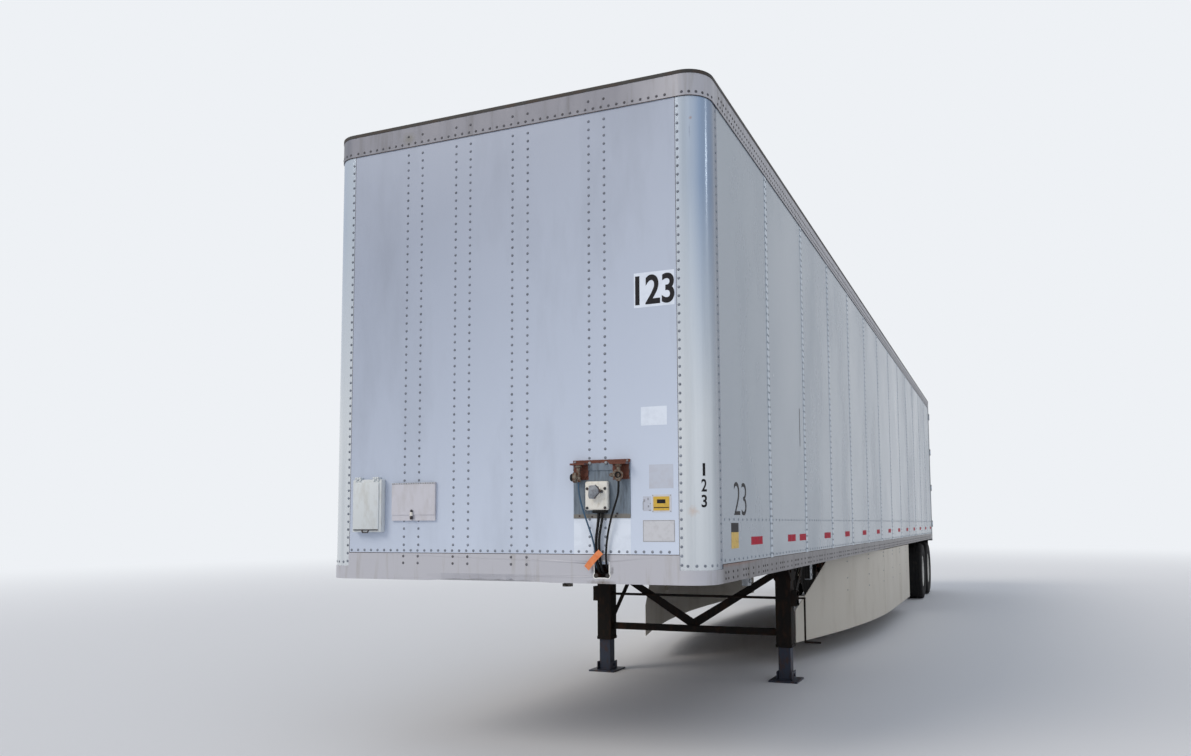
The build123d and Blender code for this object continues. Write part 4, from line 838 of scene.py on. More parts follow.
class TRAILER_OT_front_rail(bpy.types.Operator):
    """Front rails with the lower edge knocked in, and the bright rim of the opening for the lines"""

    bl_idname = "trailer.front_rail"
    bl_label = "Front rail"

    def execute(self, context):
        rail = take(bpy.data.objects.new("piece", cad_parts["front_rails"].data.copy()), link=True)
        close_up(rail)
        between = {0.0, -0.125, -0.21, 0.12, 0.2, -0.29}
        cuts = [((x, 0, 0), (1, 0, 0)) for x in sorted({x for x, _ in DENTS} | between)]
        cuts += [((0, 0, BOTTOM + z), (0, 0, 1)) for z in (0.006, 0.014, 0.025, 0.045)]
        edited(rail, *(("bisect", {"plane_co": at, "plane_no": normal}) for at, normal in cuts))
        for vertex in rail.data.vertices:
            lowness = max(0, 1 - (vertex.co.z - BOTTOM) / 0.045)
            nearness = max(0, 1 - (vertex.co.y - FRONT) / 0.060)
            depth = pushed_in(vertex.co.x) * lowness * nearness
            vertex.co += Vector((0, depth, depth * 1.25))
        made = dress([rail], "dented_front_rails", "van", "mill_aluminium", smooth=0)
        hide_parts("front_rails")

        inner, outer = lobed_outline(), lobed_outline(0.0055)
        count = len(inner)
        points = [(OPENING[0] + x, FRONT - 0.0010, OPENING[1] + z) for x, z in inner + outer]
        faces = [(i, (i + 1) % count, count + (i + 1) % count, count + i) for i in range(count)]
        rim = close_up(thickened(new_mesh(points, faces=faces), 0.003))
        dress([rim], "opening_rim", "van", "bright_edge")
        # Dark discs paint the shade inside the opening's two lower lobes
        places = [(x, FRONT, OPENING[1] - 0.034) for x in span(OPENING[0], 0.036)]
        lobes = [drum(at, (0, -0.0014, 0), 0.0134) for at in places]
        dress(lobes, "opening_lobes", "van", "black_sealant")
        return {"FINISHED"}


# Each line: thickness and length, finish, stiffness, and its route in mm: across, behind the front face and
# above the rails' underside
CORDS = {
    "line_supply": (0.010, 0.582, "tube_blue", "medium", (
        (524, -40, 577), (524, -40, 535), (531, -34, 480), (552, -28, 400), (580, -22, 320), (603, -14, 245),
        (614, -7, 176), (616, -7, 120), (616, 1, 100), (616, 17, 84), (616, 37, 76), (616, 84, 76),
    )),
    "line_service": (0.012, 0.585, "dull_rubber", "medium", (
        (772, -40, 577), (772, -40, 538), (764, -34, 490), (738, -30, 425), (714, -26, 350), (695, -20, 275),
        (685, -16, 205), (682, -16, 148), (681, -6, 104), (680, 24, 78), (679, 56, 72), (679, 84, 72),
    )),
    "harness_main": (0.016, 0.428, "dull_rubber", "limp", (
        (640, -17, 415), (640, -17, 375), (634, -20, 320), (625, -22, 255), (625, -20, 190), (629, -18, 130),
        (630, -4, 84), (630, 32, 58), (630, 84, 58),
    )),
    "harness_spare": (0.014, 0.430, "dull_rubber", "limp", (
        (664, -17, 415), (664, -17, 375), (653, -20, 320), (643, -22, 255), (643, -20, 190), (648, -18, 130),
        (652, -4, 84), (655, 32, 56), (655, 84, 56),
    )),
}


class TRAILER_OT_lines(bpy.types.Operator):
    """Air lines and electrical harnesses from the service plate into the rail"""

    bl_idname = "trailer.lines"
    bl_label = "Lines"

    def execute(self, context):
        for name, (thick, length, finish, stiffness, route) in CORDS.items():
            points = [(x / 1000, FRONT + y / 1000, BOTTOM + z / 1000) for x, y, z in route]
            curve = bpy.data.curves.new(name + "_run", "CURVE")
            curve.dimensions = "3D"
            spline = curve.splines.new("NURBS")
            spline.points.add(len(points) - 1)
            for point, place in zip(spline.points, points):
                point.co = (*place, 1)
            spline.order_u = 3
            spline.use_endpoint_u = True
            spline.resolution_u = 8
            curve.bevel_depth = thick / 2
            curve.bevel_resolution = 4
            curve.use_fill_caps = True
            run = take(bpy.data.objects.new(name + "_run", curve), link=True)
            made = dress([run], name + "_run", "van", finish)
            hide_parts(name)
        return {"FINISHED"}


def make_tyre():
    """One road tyre about the X axis: bulged flanks, four grooves and notched shoulders."""
    floor = TREAD - bpy.context.scene.trailer_sizes.groove_depth
    half = [
        (0.100, 0.2860), (0.112, 0.2885), (0.117, 0.302), (0.119, 0.318), (0.131, 0.345), (0.139, 0.380),
        (0.1425, 0.415), (0.140, 0.450), (0.133, 0.477), (0.1255, 0.494), (0.118, 0.5035), (0.106, 0.508),
    ]
    for groove in (0.077, 0.027):
        half += [(groove + 0.0055, TREAD), (groove + 0.0035, floor)]
        half += [(groove - 0.0035, floor), (groove - 0.0055, TREAD)]
    profile = half + [(-along, radius) for along, radius in reversed(half)]
    steps = 80
    tyre = turned(profile + profile[:1], steps=steps)

    def notch(centre, normal):
        share = math.atan2(centre.z, centre.y) / (2 * math.pi) * steps
        shoulder = 0.495 < math.hypot(centre.y, centre.z) < 0.503 and abs(centre.x) > 0.115
        return shoulder and math.floor(share) % 2

    pick(tyre, notch)
    bpy.ops.mesh.inset(thickness=0.003, depth=-0.006, use_individual=True)
    bpy.ops.object.mode_set(mode="OBJECT")
    return tyre


class TRAILER_OT_tyres(bpy.types.Operator):
    """Road tyres, two on each end of each axle"""

    bl_idname = "trailer.tyres"
    bl_label = "Tyres"

    def execute(self, context):
        tyre = make_tyre()
        for name, (x, y) in WHEELS.items():
            inner = math.copysign(abs(x) - TWIN, x)
            pair = [copied(tyre, (place, y, TREAD)) for place in (x, inner)]
            made = dress(pair, f"road_tyres_{name}", f"wheels_{name}", "tyre_rubber", smooth=35)
            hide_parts(f"tyres_{name}")
        bpy.data.objects.remove(tyre)
        return {"FINISHED"}


def make_disc():
    """The dished disc of an outer wheel with its five hand holes."""
    steps = 60
    dish = [
        (-0.030, 0.2505), (-0.050, 0.240), (-0.078, 0.223), (-0.118, 0.186), (-0.140, 0.166), (-0.150, 0.152),
        (-0.150, 0.100),
    ]
    disc = turned(dish, steps=steps)

    def hole(centre, normal):
        share = math.atan2(centre.z, centre.y) / (2 * math.pi) * steps
        return 0.190 < math.hypot(centre.y, centre.z) < 0.218 and math.floor(share) % 12 in (4, 5, 6, 7)

    pick(disc, hole)
    bpy.ops.mesh.delete(type="FACE")
    bpy.ops.object.mode_set(mode="OBJECT")
    shape(disc, "SUBSURF", levels=1, render_levels=1)
    return thickened(disc, 0.010)


# Outlines of the wheel about its axle, as (along, radius) from the middle of the outer tyre
RIM = (
    (0.119, 0.2845), (0.108, 0.2835), (0.104, 0.277), (0.060, 0.272), (0.045, 0.256), (-0.020, 0.254),
    (-0.045, 0.270), (-0.104, 0.277), (-0.108, 0.2835), (-0.119, 0.2845), (-0.119, 0.279), (-0.112, 0.2775),
    (-0.106, 0.269), (-0.048, 0.263), (-0.022, 0.247), (0.047, 0.249), (0.064, 0.265), (0.106, 0.270),
    (0.112, 0.2775), (0.119, 0.279), (0.119, 0.2845),
)
INNER_DISC = ((-TWIN + 0.030, 0.2505), (-TWIN + 0.118, 0.190), (-0.162, 0.150), (-0.162, 0.100))
HUB = (
    (-TWIN - 0.112, 0.045), (-TWIN - 0.112, 0.205), (-TWIN + 0.060, 0.210), (-TWIN + 0.075, 0.150),
    (-0.162, 0.112), (-0.110, 0.106), (-0.100, 0.092), (-0.052, 0.088), (-0.046, 0.078), (-0.038, 0.078),
    (-0.036, 0.068), (-0.006, 0.064), (0.003, 0.052), (0.004, 0.0),
)


class TRAILER_OT_wheels(bpy.types.Operator):
    """Drop-centre rims, dished discs with hand holes, hubs, caps and nuts"""

    bl_idname = "trailer.wheels"
    bl_label = "Wheels"

    def execute(self, context):
        rim = turned(RIM, steps=60)
        inner_disc = thickened(turned(INNER_DISC, steps=60), 0.010)
        painted = joined([rim, copied(rim, (-TWIN, 0, 0)), make_disc(), inner_disc])
        hub = turned(HUB, steps=40)
        nut = drum((-0.150, 0, 0.143), (0.026, 0, 0), 0.019, sides=6, edge=0.002)
        stud = drum((-0.126, 0, 0.143), (0.022, 0, 0), 0.010, sides=10, edge=0.002)
        bolt = drum((-0.046, 0, 0.074), (0.010, 0, 0), 0.007, sides=6, edge=0.001)
        nuts = around(joined([nut, stud]), context.scene.trailer_sizes.wheel_nuts)
        fasteners = joined(nuts + around(bolt, 6))
        for name, (x, y) in WHEELS.items():
            turn = Matrix.Translation((x, y, TREAD)) @ Matrix.Rotation(0 if x > 0 else math.pi, 4, "Z")
            body = f"wheels_{name}"
            made = dress([copied(painted, turn=turn)], f"rims_{name}", body, "wheel_enamel")
            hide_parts(f"wheels_{name}")
            dress([copied(hub, turn=turn)], f"hubs_{name}", body, "hub_steel")
            nuts = [copied(fasteners, turn=turn)]
            dress(nuts, f"wheel_nuts_{name}", body, "hub_steel", smooth=20)
        for one in (painted, hub, fasteners):
            bpy.data.objects.remove(one)
        return {"FINISHED"}


# Outlines of an air spring's bellows and piston, as (height above its foot, radius)
BELLOWS = (
    (0.060, 0.0), (0.060, 0.084), (0.075, 0.104), (0.100, 0.117), (0.135, 0.1215), (0.170, 0.116),
    (0.186, 0.110), (0.202, 0.114), (0.235, 0.1215), (0.275, 0.118), (0.300, 0.108),
)
PISTON = ((0, 0), (0, 0.078), (0.085, 0.082), (0.085, 0))
# Bolts of a hanger, as (behind the axle, height)
HANGER_BOLTS = ((-0.650, 0.960), (-0.560, 0.960), (-0.500, 0.960), (-0.600, 0.800), (-0.530, 0.800))


class TRAILER_OT_bogie(bpy.types.Operator):
    """Rolled bellows, their pistons and beads, brake chamber bands and the hangers' bolts"""

    bl_idname = "trailer.bogie"
    bl_label = "Bogie"

    def execute(self, context):
        low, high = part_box("air_springs")
        top = high.z - low.z
        bead = ((top - 0.014, 0), (top - 0.014, 0.104), (top, 0.104), (top, 0))
        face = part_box("bogie_frame")[1].x
        bags, metal, nuts, clamps = [], [], [], []
        for axle in AXLES:
            foot = ((face + 0.400) / 2, axle + 0.330, low.z)
            bag = (*BELLOWS, (top - 0.012, 0.098), (top - 0.012, 0.0))
            bags.append(turned(bag, foot, (0, 0, 1), steps=36))
            metal += [turned(outline, foot, (0, 0, 1), steps=36) for outline in (PISTON, bead)]
            for y, z in HANGER_BOLTS:
                nuts.append(drum((face, axle + y, z), (0.010, 0, 0), 0.016, sides=6, edge=0.002))
            nuts.append(drum((face, axle - 0.560, 0.625), (0.014, 0, 0), 0.034, sides=6, edge=0.002))
            x, y, z = 0.584, axle - 0.255, 0.610
            ring = ((-0.010, 0.063), (-0.010, 0.072), (0.010, 0.072), (0.010, 0.063))
            clamps.append(turned(ring, (x, y, z), (0, 1, 0), steps=24))
            clamps.append(drum((x - 0.026, y, z + 0.074), (0.052, 0, 0), 0.007, sides=6, edge=0.001))
            clamps.append(drum((x, axle - 0.172, z), (0, 0.102, -0.010), 0.009, sides=12, edge=0.002))
        clamps = mirrored(clamps)
        strap = ((-0.016, 0.117), (-0.016, 0.1235), (0.016, 0.1235), (0.016, 0.117))
        for x in (-0.180, 0.180):
            clamps.append(turned(strap, (x, AXLES[0] - 0.560, 0.892), steps=36))
        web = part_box("slider_rails")
        # Dark discs paint the shade of the slider rails' pin holes
        holes = [(0.508, web[0].y + 0.10 + 0.1524 * i, 1.048) for i in range(33)]
        discs = mirrored(bolts(holes, (1, 0, 0), 0.014, 0.0008, sides=16))
        made = dress(mirrored(bags), "bellows", "bogie", "rubber_bellows")
        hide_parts("air_springs")
        dress(mirrored(metal), "bellows_pistons", "bogie", "chassis_paint")
        dress(mirrored(nuts), "hanger_bolts", "bogie", "hub_steel", smooth=20)
        dress(clamps, "chamber_clamps_and_tank_straps", "bogie", "dipped_zinc")
        dress(discs, "slider_holes", "van", "black_sealant", smooth=0)
        return {"FINISHED"}


# The doors' leaf across from the middle, their hinges' heights, and the lock rods with their guides
LEAF = (0.004, 1.219)
LEAF_Z = (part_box("door_roadside")[0].z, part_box("door_roadside")[1].z)
HINGES = [LEAF_Z[0] + 0.170 + 0.75667 * i for i in range(4)]
RODS = (0.380, 0.930)
GUIDES = [LEAF_Z[0] + share * (LEAF_Z[1] - LEAF_Z[0]) for share in (0.04, 0.35, 0.65, 0.96)]
SILL = REAR - 0.006
LAMPS = [(x, SILL, 1.0996) for x in (1.080, 0.820)]
GROMMET = ((-0.001, 0.0515), (0.008, 0.0515), (0.011, 0.055), (0.007, 0.063), (-0.001, 0.063))
DOME = (
    (0.010, 0.0), (0.010, 0.050), (0.013, 0.047), (0.0145, 0.038), (0.0135, 0.034), (0.0155, 0.030),
    (0.017, 0.012), (0.017, 0),
)
# Stretches of tape on the sill, red and white by turns, from one place across to another
SILL_TAPES = ((-1.20, -0.98), (-0.88, -0.43), (-0.33, 0.33), (0.43, 0.88), (0.98, 1.20))


def tape(x, y, z):
    """A strip of tape that lies on a face at the rear."""
    return block(x, (y - SUNK, y + 0.0006), z)


def door_trim():
    """The seal's lips, the bolts, guide feet and tape of the roadside door."""
    behind = (REAR - SUNK, REAR + 0.003)
    lips = [(LEAF, (LEAF_Z[0], LEAF_Z[0] + 0.014)), (LEAF, (LEAF_Z[1] - 0.014, LEAF_Z[1]))]
    lips += [((LEAF[0], LEAF[0] + 0.012), LEAF_Z), ((LEAF[1] - 0.014, LEAF[1]), LEAF_Z)]
    seal = [block(x, behind, z, edge=0.001, segments=1) for x, z in lips]
    strap = [(x, REAR + 0.008, z) for z in HINGES for x in (1.128, 1.168, 1.208)]
    metal = bolts(strap, (0, 1, 0), 0.010, 0.006)
    guides = [(x, z) for x in RODS for z in GUIDES]
    places = [(x + d, REAR + 0.004, z) for x, z in guides for d in (-0.040, 0.040)]
    metal += bolts(places, (0, 1, 0), 0.007, 0.005)
    foot = (REAR - SUNK, REAR + 0.004)
    metal += [block(span(x, 0.054), foot, span(z, 0.020), edge=0.0015) for x, z in guides]
    mark = tape((1.150, 1.200), REAR, (LEAF_Z[1] - 0.320, LEAF_Z[1] - 0.018))
    return (
        ("door_seals", seal, "black_rubber", "dull_rubber", 30),
        ("door_fasteners", metal, "galvanised_steel", "dipped_zinc", 20),
        ("door_tape", [mark], "white_gloss", "white_tape", 0),
    )


class TRAILER_OT_rear(bpy.types.Operator):
    """Door seals, hinge bolts, rod guides, lamp rims, bumpers, mud flap clamps and a blank plate"""

    bl_idname = "trailer.rear"
    bl_label = "Rear"

    def execute(self, context):
        for piece, made, slot, finish, smooth in door_trim():
            both = mirrored(made)
            for half, name in ((both[: len(made)], "roadside"), (both[len(made) :], "curbside")):
                dress(half, f"{piece}_{name}", f"door_{name}", finish, smooth)

        axis = (0, 1, 0)
        rims = [turned(GROMMET, at, axis, steps=32) for at in LAMPS]
        rims.append(block((1.229, 1.277), (SILL, REAR + 0.027), (1.046, 1.200), edge=0.009, segments=3))
        dress(mirrored(rims), "lamp_grommets_and_bumpers", "van", "dull_rubber")
        domes = [turned(DOME, at, axis, steps=32) for at in LAMPS]
        dress(mirrored(domes), "lamp_domes", "van", "lamp_lens")

        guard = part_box("underride_guard")
        strips = []
        for start, end in SILL_TAPES:
            count = round((end - start) / 0.15)
            edges = [start + (end - start) * i / count for i in range(count + 1)]
            strips += [(i, x, SILL, (1.160, 1.210)) for i, x in enumerate(zip(edges[:-1], edges[1:]))]
        for i in range(12):
            x = guard[0].x + 0.010 + 0.190 * i
            strips.append((i, (x, x + 0.190), guard[1].y, (0.505, 0.555)))
        red, white = [], mirrored([tape((0.820, 1.100), SILL, (3.902, 3.942))])
        for i, x, y, z in strips:
            (red, white)[i % 2].append(tape(x, y, z))
        dress(red, "rear_red_tapes", "van", "red_tape", smooth=0)
        dress(white, "rear_white_tapes", "van", "white_tape", smooth=0)

        blank = block((-0.350, -0.045), (REAR - 0.030, REAR - 0.027), (0.884, 1.036), edge=0.001)
        dress([blank], "blank_plate", "van", "socket_white")
        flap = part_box("mud_flaps")[1]
        clamp = block((0.652, flap.x), (flap.y, flap.y + 0.005), (1.030, 1.066), edge=0.0015)
        places = [(0.690 + 0.126 * i, flap.y + 0.005, 1.048) for i in range(5)]
        metal = mirrored([clamp, *bolts(places, axis, 0.010, 0.006)])
        for x in (-0.297, -0.098):
            metal.append(block(span(x, 0.013), (REAR - 0.035, REAR - 0.030), (0.90, 1.044), edge=0.001))
            metal += bolts([(x, REAR - 0.027, 1.018)], axis, 0.007, 0.004)
        dress(metal, "plate_tabs_and_flap_clamps", "van", "dipped_zinc", smooth=20)
        return {"FINISHED"}


LEG_Y = (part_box("leg_housings")[0].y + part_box("leg_housings")[1].y) / 2
LEG_X = 0.880
# Bolts of a leg's wings, as (behind the leg's middle, height)
WING_BOLTS = [(y, 1.062) for y in (-0.185, -0.115, 0.115, 0.185)] + [(y, 0.985) for y in (-0.100, 0.100)]


class TRAILER_OT_landing_gear(bpy.types.Operator):
    """Bolts, gearbox covers, collars and shoe pivots of the landing legs, and two brackets under the rail"""

    bl_idname = "trailer.landing_gear"
    bl_label = "Landing gear"

    def execute(self, context):
        out, down = (1, 0, 0), (BOTTOM - 0.125, BOTTOM + 0.010)
        cover = LEG_X + 0.120
        made = bolts([(LEG_X + 0.078, LEG_Y + y, z) for y, z in WING_BOLTS], out, 0.013, 0.009)
        along = (LEG_Y - 0.054, LEG_Y + 0.044)
        made.append(block((cover - 0.004, cover), along, (0.676, 0.804), edge=0.0035))
        corners = [(cover, LEG_Y + y, z) for y in (-0.045, 0.035) for z in (0.686, 0.794)]
        made += bolts(corners, out, 0.0065, 0.005)
        made.append(drum((cover - 0.002, LEG_Y - 0.005, 0.740), (0.006, 0, 0), 0.026, sides=20, edge=0.002))
        made.append(block(span(LEG_X, 0.075), span(LEG_Y, 0.075), (0.302, 0.330), edge=0.004))
        crossing = [(0.022, LEG_Y + 0.022, 0.510), (0.765, LEG_Y + 0.022, 0.955)]
        made += bolts(crossing, (0, -1, 0), 0.011, 0.008)
        dress(mirrored(made), "leg_fittings", "van", "leg_enamel", smooth=20)
        shoes = [drum((LEG_X - 0.086, LEG_Y, 0.055), (0.172, 0, 0), 0.014, sides=14, edge=0.003)]
        for x in span(LEG_X, 0.067):
            shoes.append(block(span(x, 0.004), span(LEG_Y, 0.085), (0.009, 0.088), edge=0.003))
        dress(mirrored(shoes), "shoe_pivots", "van", "worn_ram")
        rail = HALF - 0.022
        clips = bolts([(rail, FRONT + 0.890, BOTTOM - 0.022)], out, 0.013, 0.010)
        clips += bolts([(rail, FRONT + 2.895, BOTTOM + z) for z in (-0.030, -0.085)], out, 0.010, 0.007)
        for x, y, z in (
            ((rail - 0.040, rail), (0.850, 0.930), (BOTTOM - 0.052, down[1])),
            ((rail - 0.006, rail), (2.860, 2.930), down),
            ((rail - 0.050, rail), (2.860, 2.930), (down[0], BOTTOM - 0.119)),
        ):
            clips.append(block(x, (FRONT + y[0], FRONT + y[1]), z, edge=0.002))
        dress(clips, "rail_brackets", "van", "dipped_zinc", smooth=20)
        return {"FINISHED"}


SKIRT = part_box("skirts")
BEND_START = FRONT + 8.450
SKIRT_BEND = 16.393


def skirt_face(y):
    """The skirt's outer face at a place along the trailer; its front part is bent inwards."""
    ahead = max(0, BEND_START - y)
    return SKIRT[1].x - SKIRT_BEND + math.sqrt(SKIRT_BEND**2 - ahead**2)


class TRAILER_OT_skirts(bpy.types.Operator):
    """Pan rivets over the skirts' struts, and the laps between their panels"""

    bl_idname = "trailer.skirts"
    bl_label = "Skirts"

    def execute(self, context):
        places = [FRONT + 0.150 + 0.305 * i for i in range(60)]
        struts = [y for y in places if SKIRT[0].y + 0.90 < y < SKIRT[1].y][1::3]
        columns_y = [y + d for y in struts for d in (-0.011, 0.011)]
        spots = [(skirt_face(y) - 0.0005, y, z) for y in columns_y for z in (1.035, 0.985, 0.800, 0.665)]
        heads = bolts(spots, (1, 0, 0), 0.0065, 0.003, sides=10)
        dress(mirrored(heads), "skirt_rivets", "van", "rivet_metal")
        laps, height = [], (SKIRT[0].z + 0.002, SKIRT[1].z - 0.022)
        for y in (BEND_START - 0.6, BEND_START + 1.25):
            face = (skirt_face(y) - 0.002, skirt_face(y) + 0.0015)
            laps.append(block(face, span(y, 0.02), height, edge=0.0006, segments=1))
        dress(mirrored(laps), "skirt_laps", "van", "skirt_plastic")
        return {"FINISHED"}


def studs(places, out, reach, radius, sides, tip=None, edge=0.0):
    """Round studs that start `out` before the front rail's face, at (across, height) places."""
    return [drum((x, FRONT - out, BOTTOM + z), (0, -reach, 0), radius, sides, tip, edge) for x, z in places]


# The couplings: where each head stands and points, its outline as (along, radius), and the parts of its stem,
# each from one height to another with its radius, sides and rounded edge
LEFT_HEAD, LEFT_WAY = (0.502, FRONT - 0.040, BOTTOM + 0.603), (-1, -0.25, 0)
RIGHT_HEAD, RIGHT_WAY = (0.768, FRONT - 0.044, BOTTOM + 0.612), (0.5, -0.87, 0)
GLADHAND = (
    (-0.016, 0.0), (-0.016, 0.019), (-0.010, 0.029), (0.004, 0.031), (0.010, 0.029), (0.010, 0.019),
    (0.003, 0.017), (0.003, 0),
)
STEM = ((0.577, 0.607, 0.0135, 6, 0.001), (0.605, 0.674, 0.0105, 16, 0.002), (0.660, 0.676, 0.019, 6, 0.002))
CAP = ((0.006, 0.0), (0.006, 0.024), (0.020, 0.022), (0.027, 0.016), (0.030, 0))
SEAL = ((0.004, 0.009), (0.011, 0.011), (0.012, 0.015), (0.009, 0.018), (0.004, 0.018))
# The socket's middle, its lid's outline and its spring's run, as (across, height) from that middle
SOCKET = (0.628, 0.518)
SOCKET_LID = (
    (-0.034, -0.020), (-0.030, 0.036), (0.010, 0.040), (0.030, 0.030), (0.034, -0.004), (0.008, -0.040),
    (-0.028, -0.038),
)
SPRING = ((0.012, 0.040), (0.047, 0.004), (0.006, -0.036))
BOX_SCREWS = [(x, z) for x in (0.57562, 0.68638) for z in (0.538, 0.428)]
# Dark discs, sunk in the zinc plate, paint the shade of its holes
PLATE_HOLE_SHADES = ((0.592, 0.379), (0.712, 0.381), (0.738, 0.381), (0.746, 0.396), (0.512, 0.383))


def gladhand(centre, axis):
    """The round head of an air coupling with its lug, about its own axis."""
    centre, axis = Vector(centre), Vector(axis).normalized()
    side = axis.cross(Vector((0, 0, 1)))
    start, reach = centre + side * 0.026 - axis * 0.006, side * 0.018 + axis * 0.010
    lug = drum(start, reach, 0.014, sides=8, tip=0.009, edge=0.003)
    return [turned(GLADHAND, centre, axis, steps=32), lug]


def line_tag():
    """A curved strip across the lines."""
    runs = 8
    middle, along = Vector((0.6105, 0, 0.1345)), Vector((0.0845, 0, 0.0885))
    across = Vector((0.0118, 0, -0.0131))
    points = []
    for i in range(runs + 1):
        share = 2 * i / runs - 1
        for edge in (-1, 1):
            out = FRONT - 0.024 - 0.012 * math.cos(share * 1.5) + 0.004 * edge
            points.append(Vector((0, out, BOTTOM)) + middle + along * share / 2 * 1.05 + across * edge)
    faces = [(2 * i, 2 * i + 1, 2 * i + 3, 2 * i + 2) for i in range(runs)]
    return thickened(new_mesh(points, faces=faces), 0.0012)


class TRAILER_OT_service_plate(bpy.types.Operator):
    """Couplings, socket box with its sprung lid, bolts and tag on the zinc plate"""

    bl_idname = "trailer.service_plate"
    bl_label = "Service plate"

    def execute(self, context):
        heads = gladhand(LEFT_HEAD, LEFT_WAY) + gladhand(RIGHT_HEAD, RIGHT_WAY)
        for x in (0.524, 0.772):
            for low, high, radius, sides, edge in STEM:
                start = (x, FRONT - 0.040, BOTTOM + low)
                heads.append(drum(start, (0, 0, high - low), radius, sides, edge=edge))
        made = dress(heads, "coupling_heads", "van", "coupling_casting")
        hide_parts("air_couplings")
        cap = turned(CAP, LEFT_HEAD, LEFT_WAY, steps=24)
        seal = turned(SEAL, RIGHT_HEAD, RIGHT_WAY, steps=24)
        under_box = (BOTTOM + 0.399, BOTTOM + 0.418)
        gland = block((0.604, 0.692), (FRONT - 0.031, FRONT - 0.004), under_box, edge=0.005)
        dress([cap, seal, gland], "coupling_seals", "van", "dull_rubber")

        height = (BOTTOM + 0.415, BOTTOM + 0.580)
        box = block((0.560, 0.702), (FRONT - 0.034, FRONT), height, edge=0.011, segments=3)
        neck = studs([SOCKET], 0.030, 0.028, 0.034, 32, edge=0.004)
        made = dress([box, *neck], "socket_box", "van", "socket_white")
        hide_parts("service_socket")
        x, z = SOCKET[0], BOTTOM + SOCKET[1]
        outline = [(x + across, FRONT - 0.060, z + up) for across, up in SOCKET_LID]
        lid = thickened(new_mesh(outline, faces=[tuple(range(len(outline)))]), 0.009)
        shape(lid, "BEVEL", width=0.003, segments=2, limit_method="ANGLE")
        height = (z - 0.006, z + 0.010)
        ear = block((x + 0.014, x + 0.046), (FRONT - 0.056, FRONT - 0.034), height, edge=0.003)
        dress([close_up(lid), ear], "socket_lid", "van", "socket_lid")
        ends = [Vector((x + across, FRONT - 0.068, z + up)) for across, up in SPRING]
        dark = [drum(a, b - a, 0.0025, sides=8, edge=0.0008) for a, b in zip(ends[:-1], ends[1:])]
        dark += studs([(SOCKET[0] + 0.040, SOCKET[1] + 0.004)], 0.034, 0.036, 0.008, 12, edge=0.002)
        dark += studs(BOX_SCREWS, 0.033, 0.006, 0.0085, 14, edge=0.002)
        dark += studs(PLATE_HOLE_SHADES, 0.0012, -0.0022, 0.006, 12, edge=0.0005)
        dress(dark, "socket_spring_and_bolts", "van", "dark_casting")
        bright = studs([(x, 0.684) for x in (0.580, 0.682)], 0.005, 0.008, 0.012, 14, 0.008, 0.002)
        bright += studs([(x, 0.693) for x in (0.488, 0.812)], 0.005, 0.005, 0.008, 12, 0.005, 0.001)
        dress(bright, "service_plate_bolts", "van", "dipped_zinc")
        dress([line_tag()], "line_tag", "van", "tag_plastic", smooth=60)
        return {"FINISHED"}


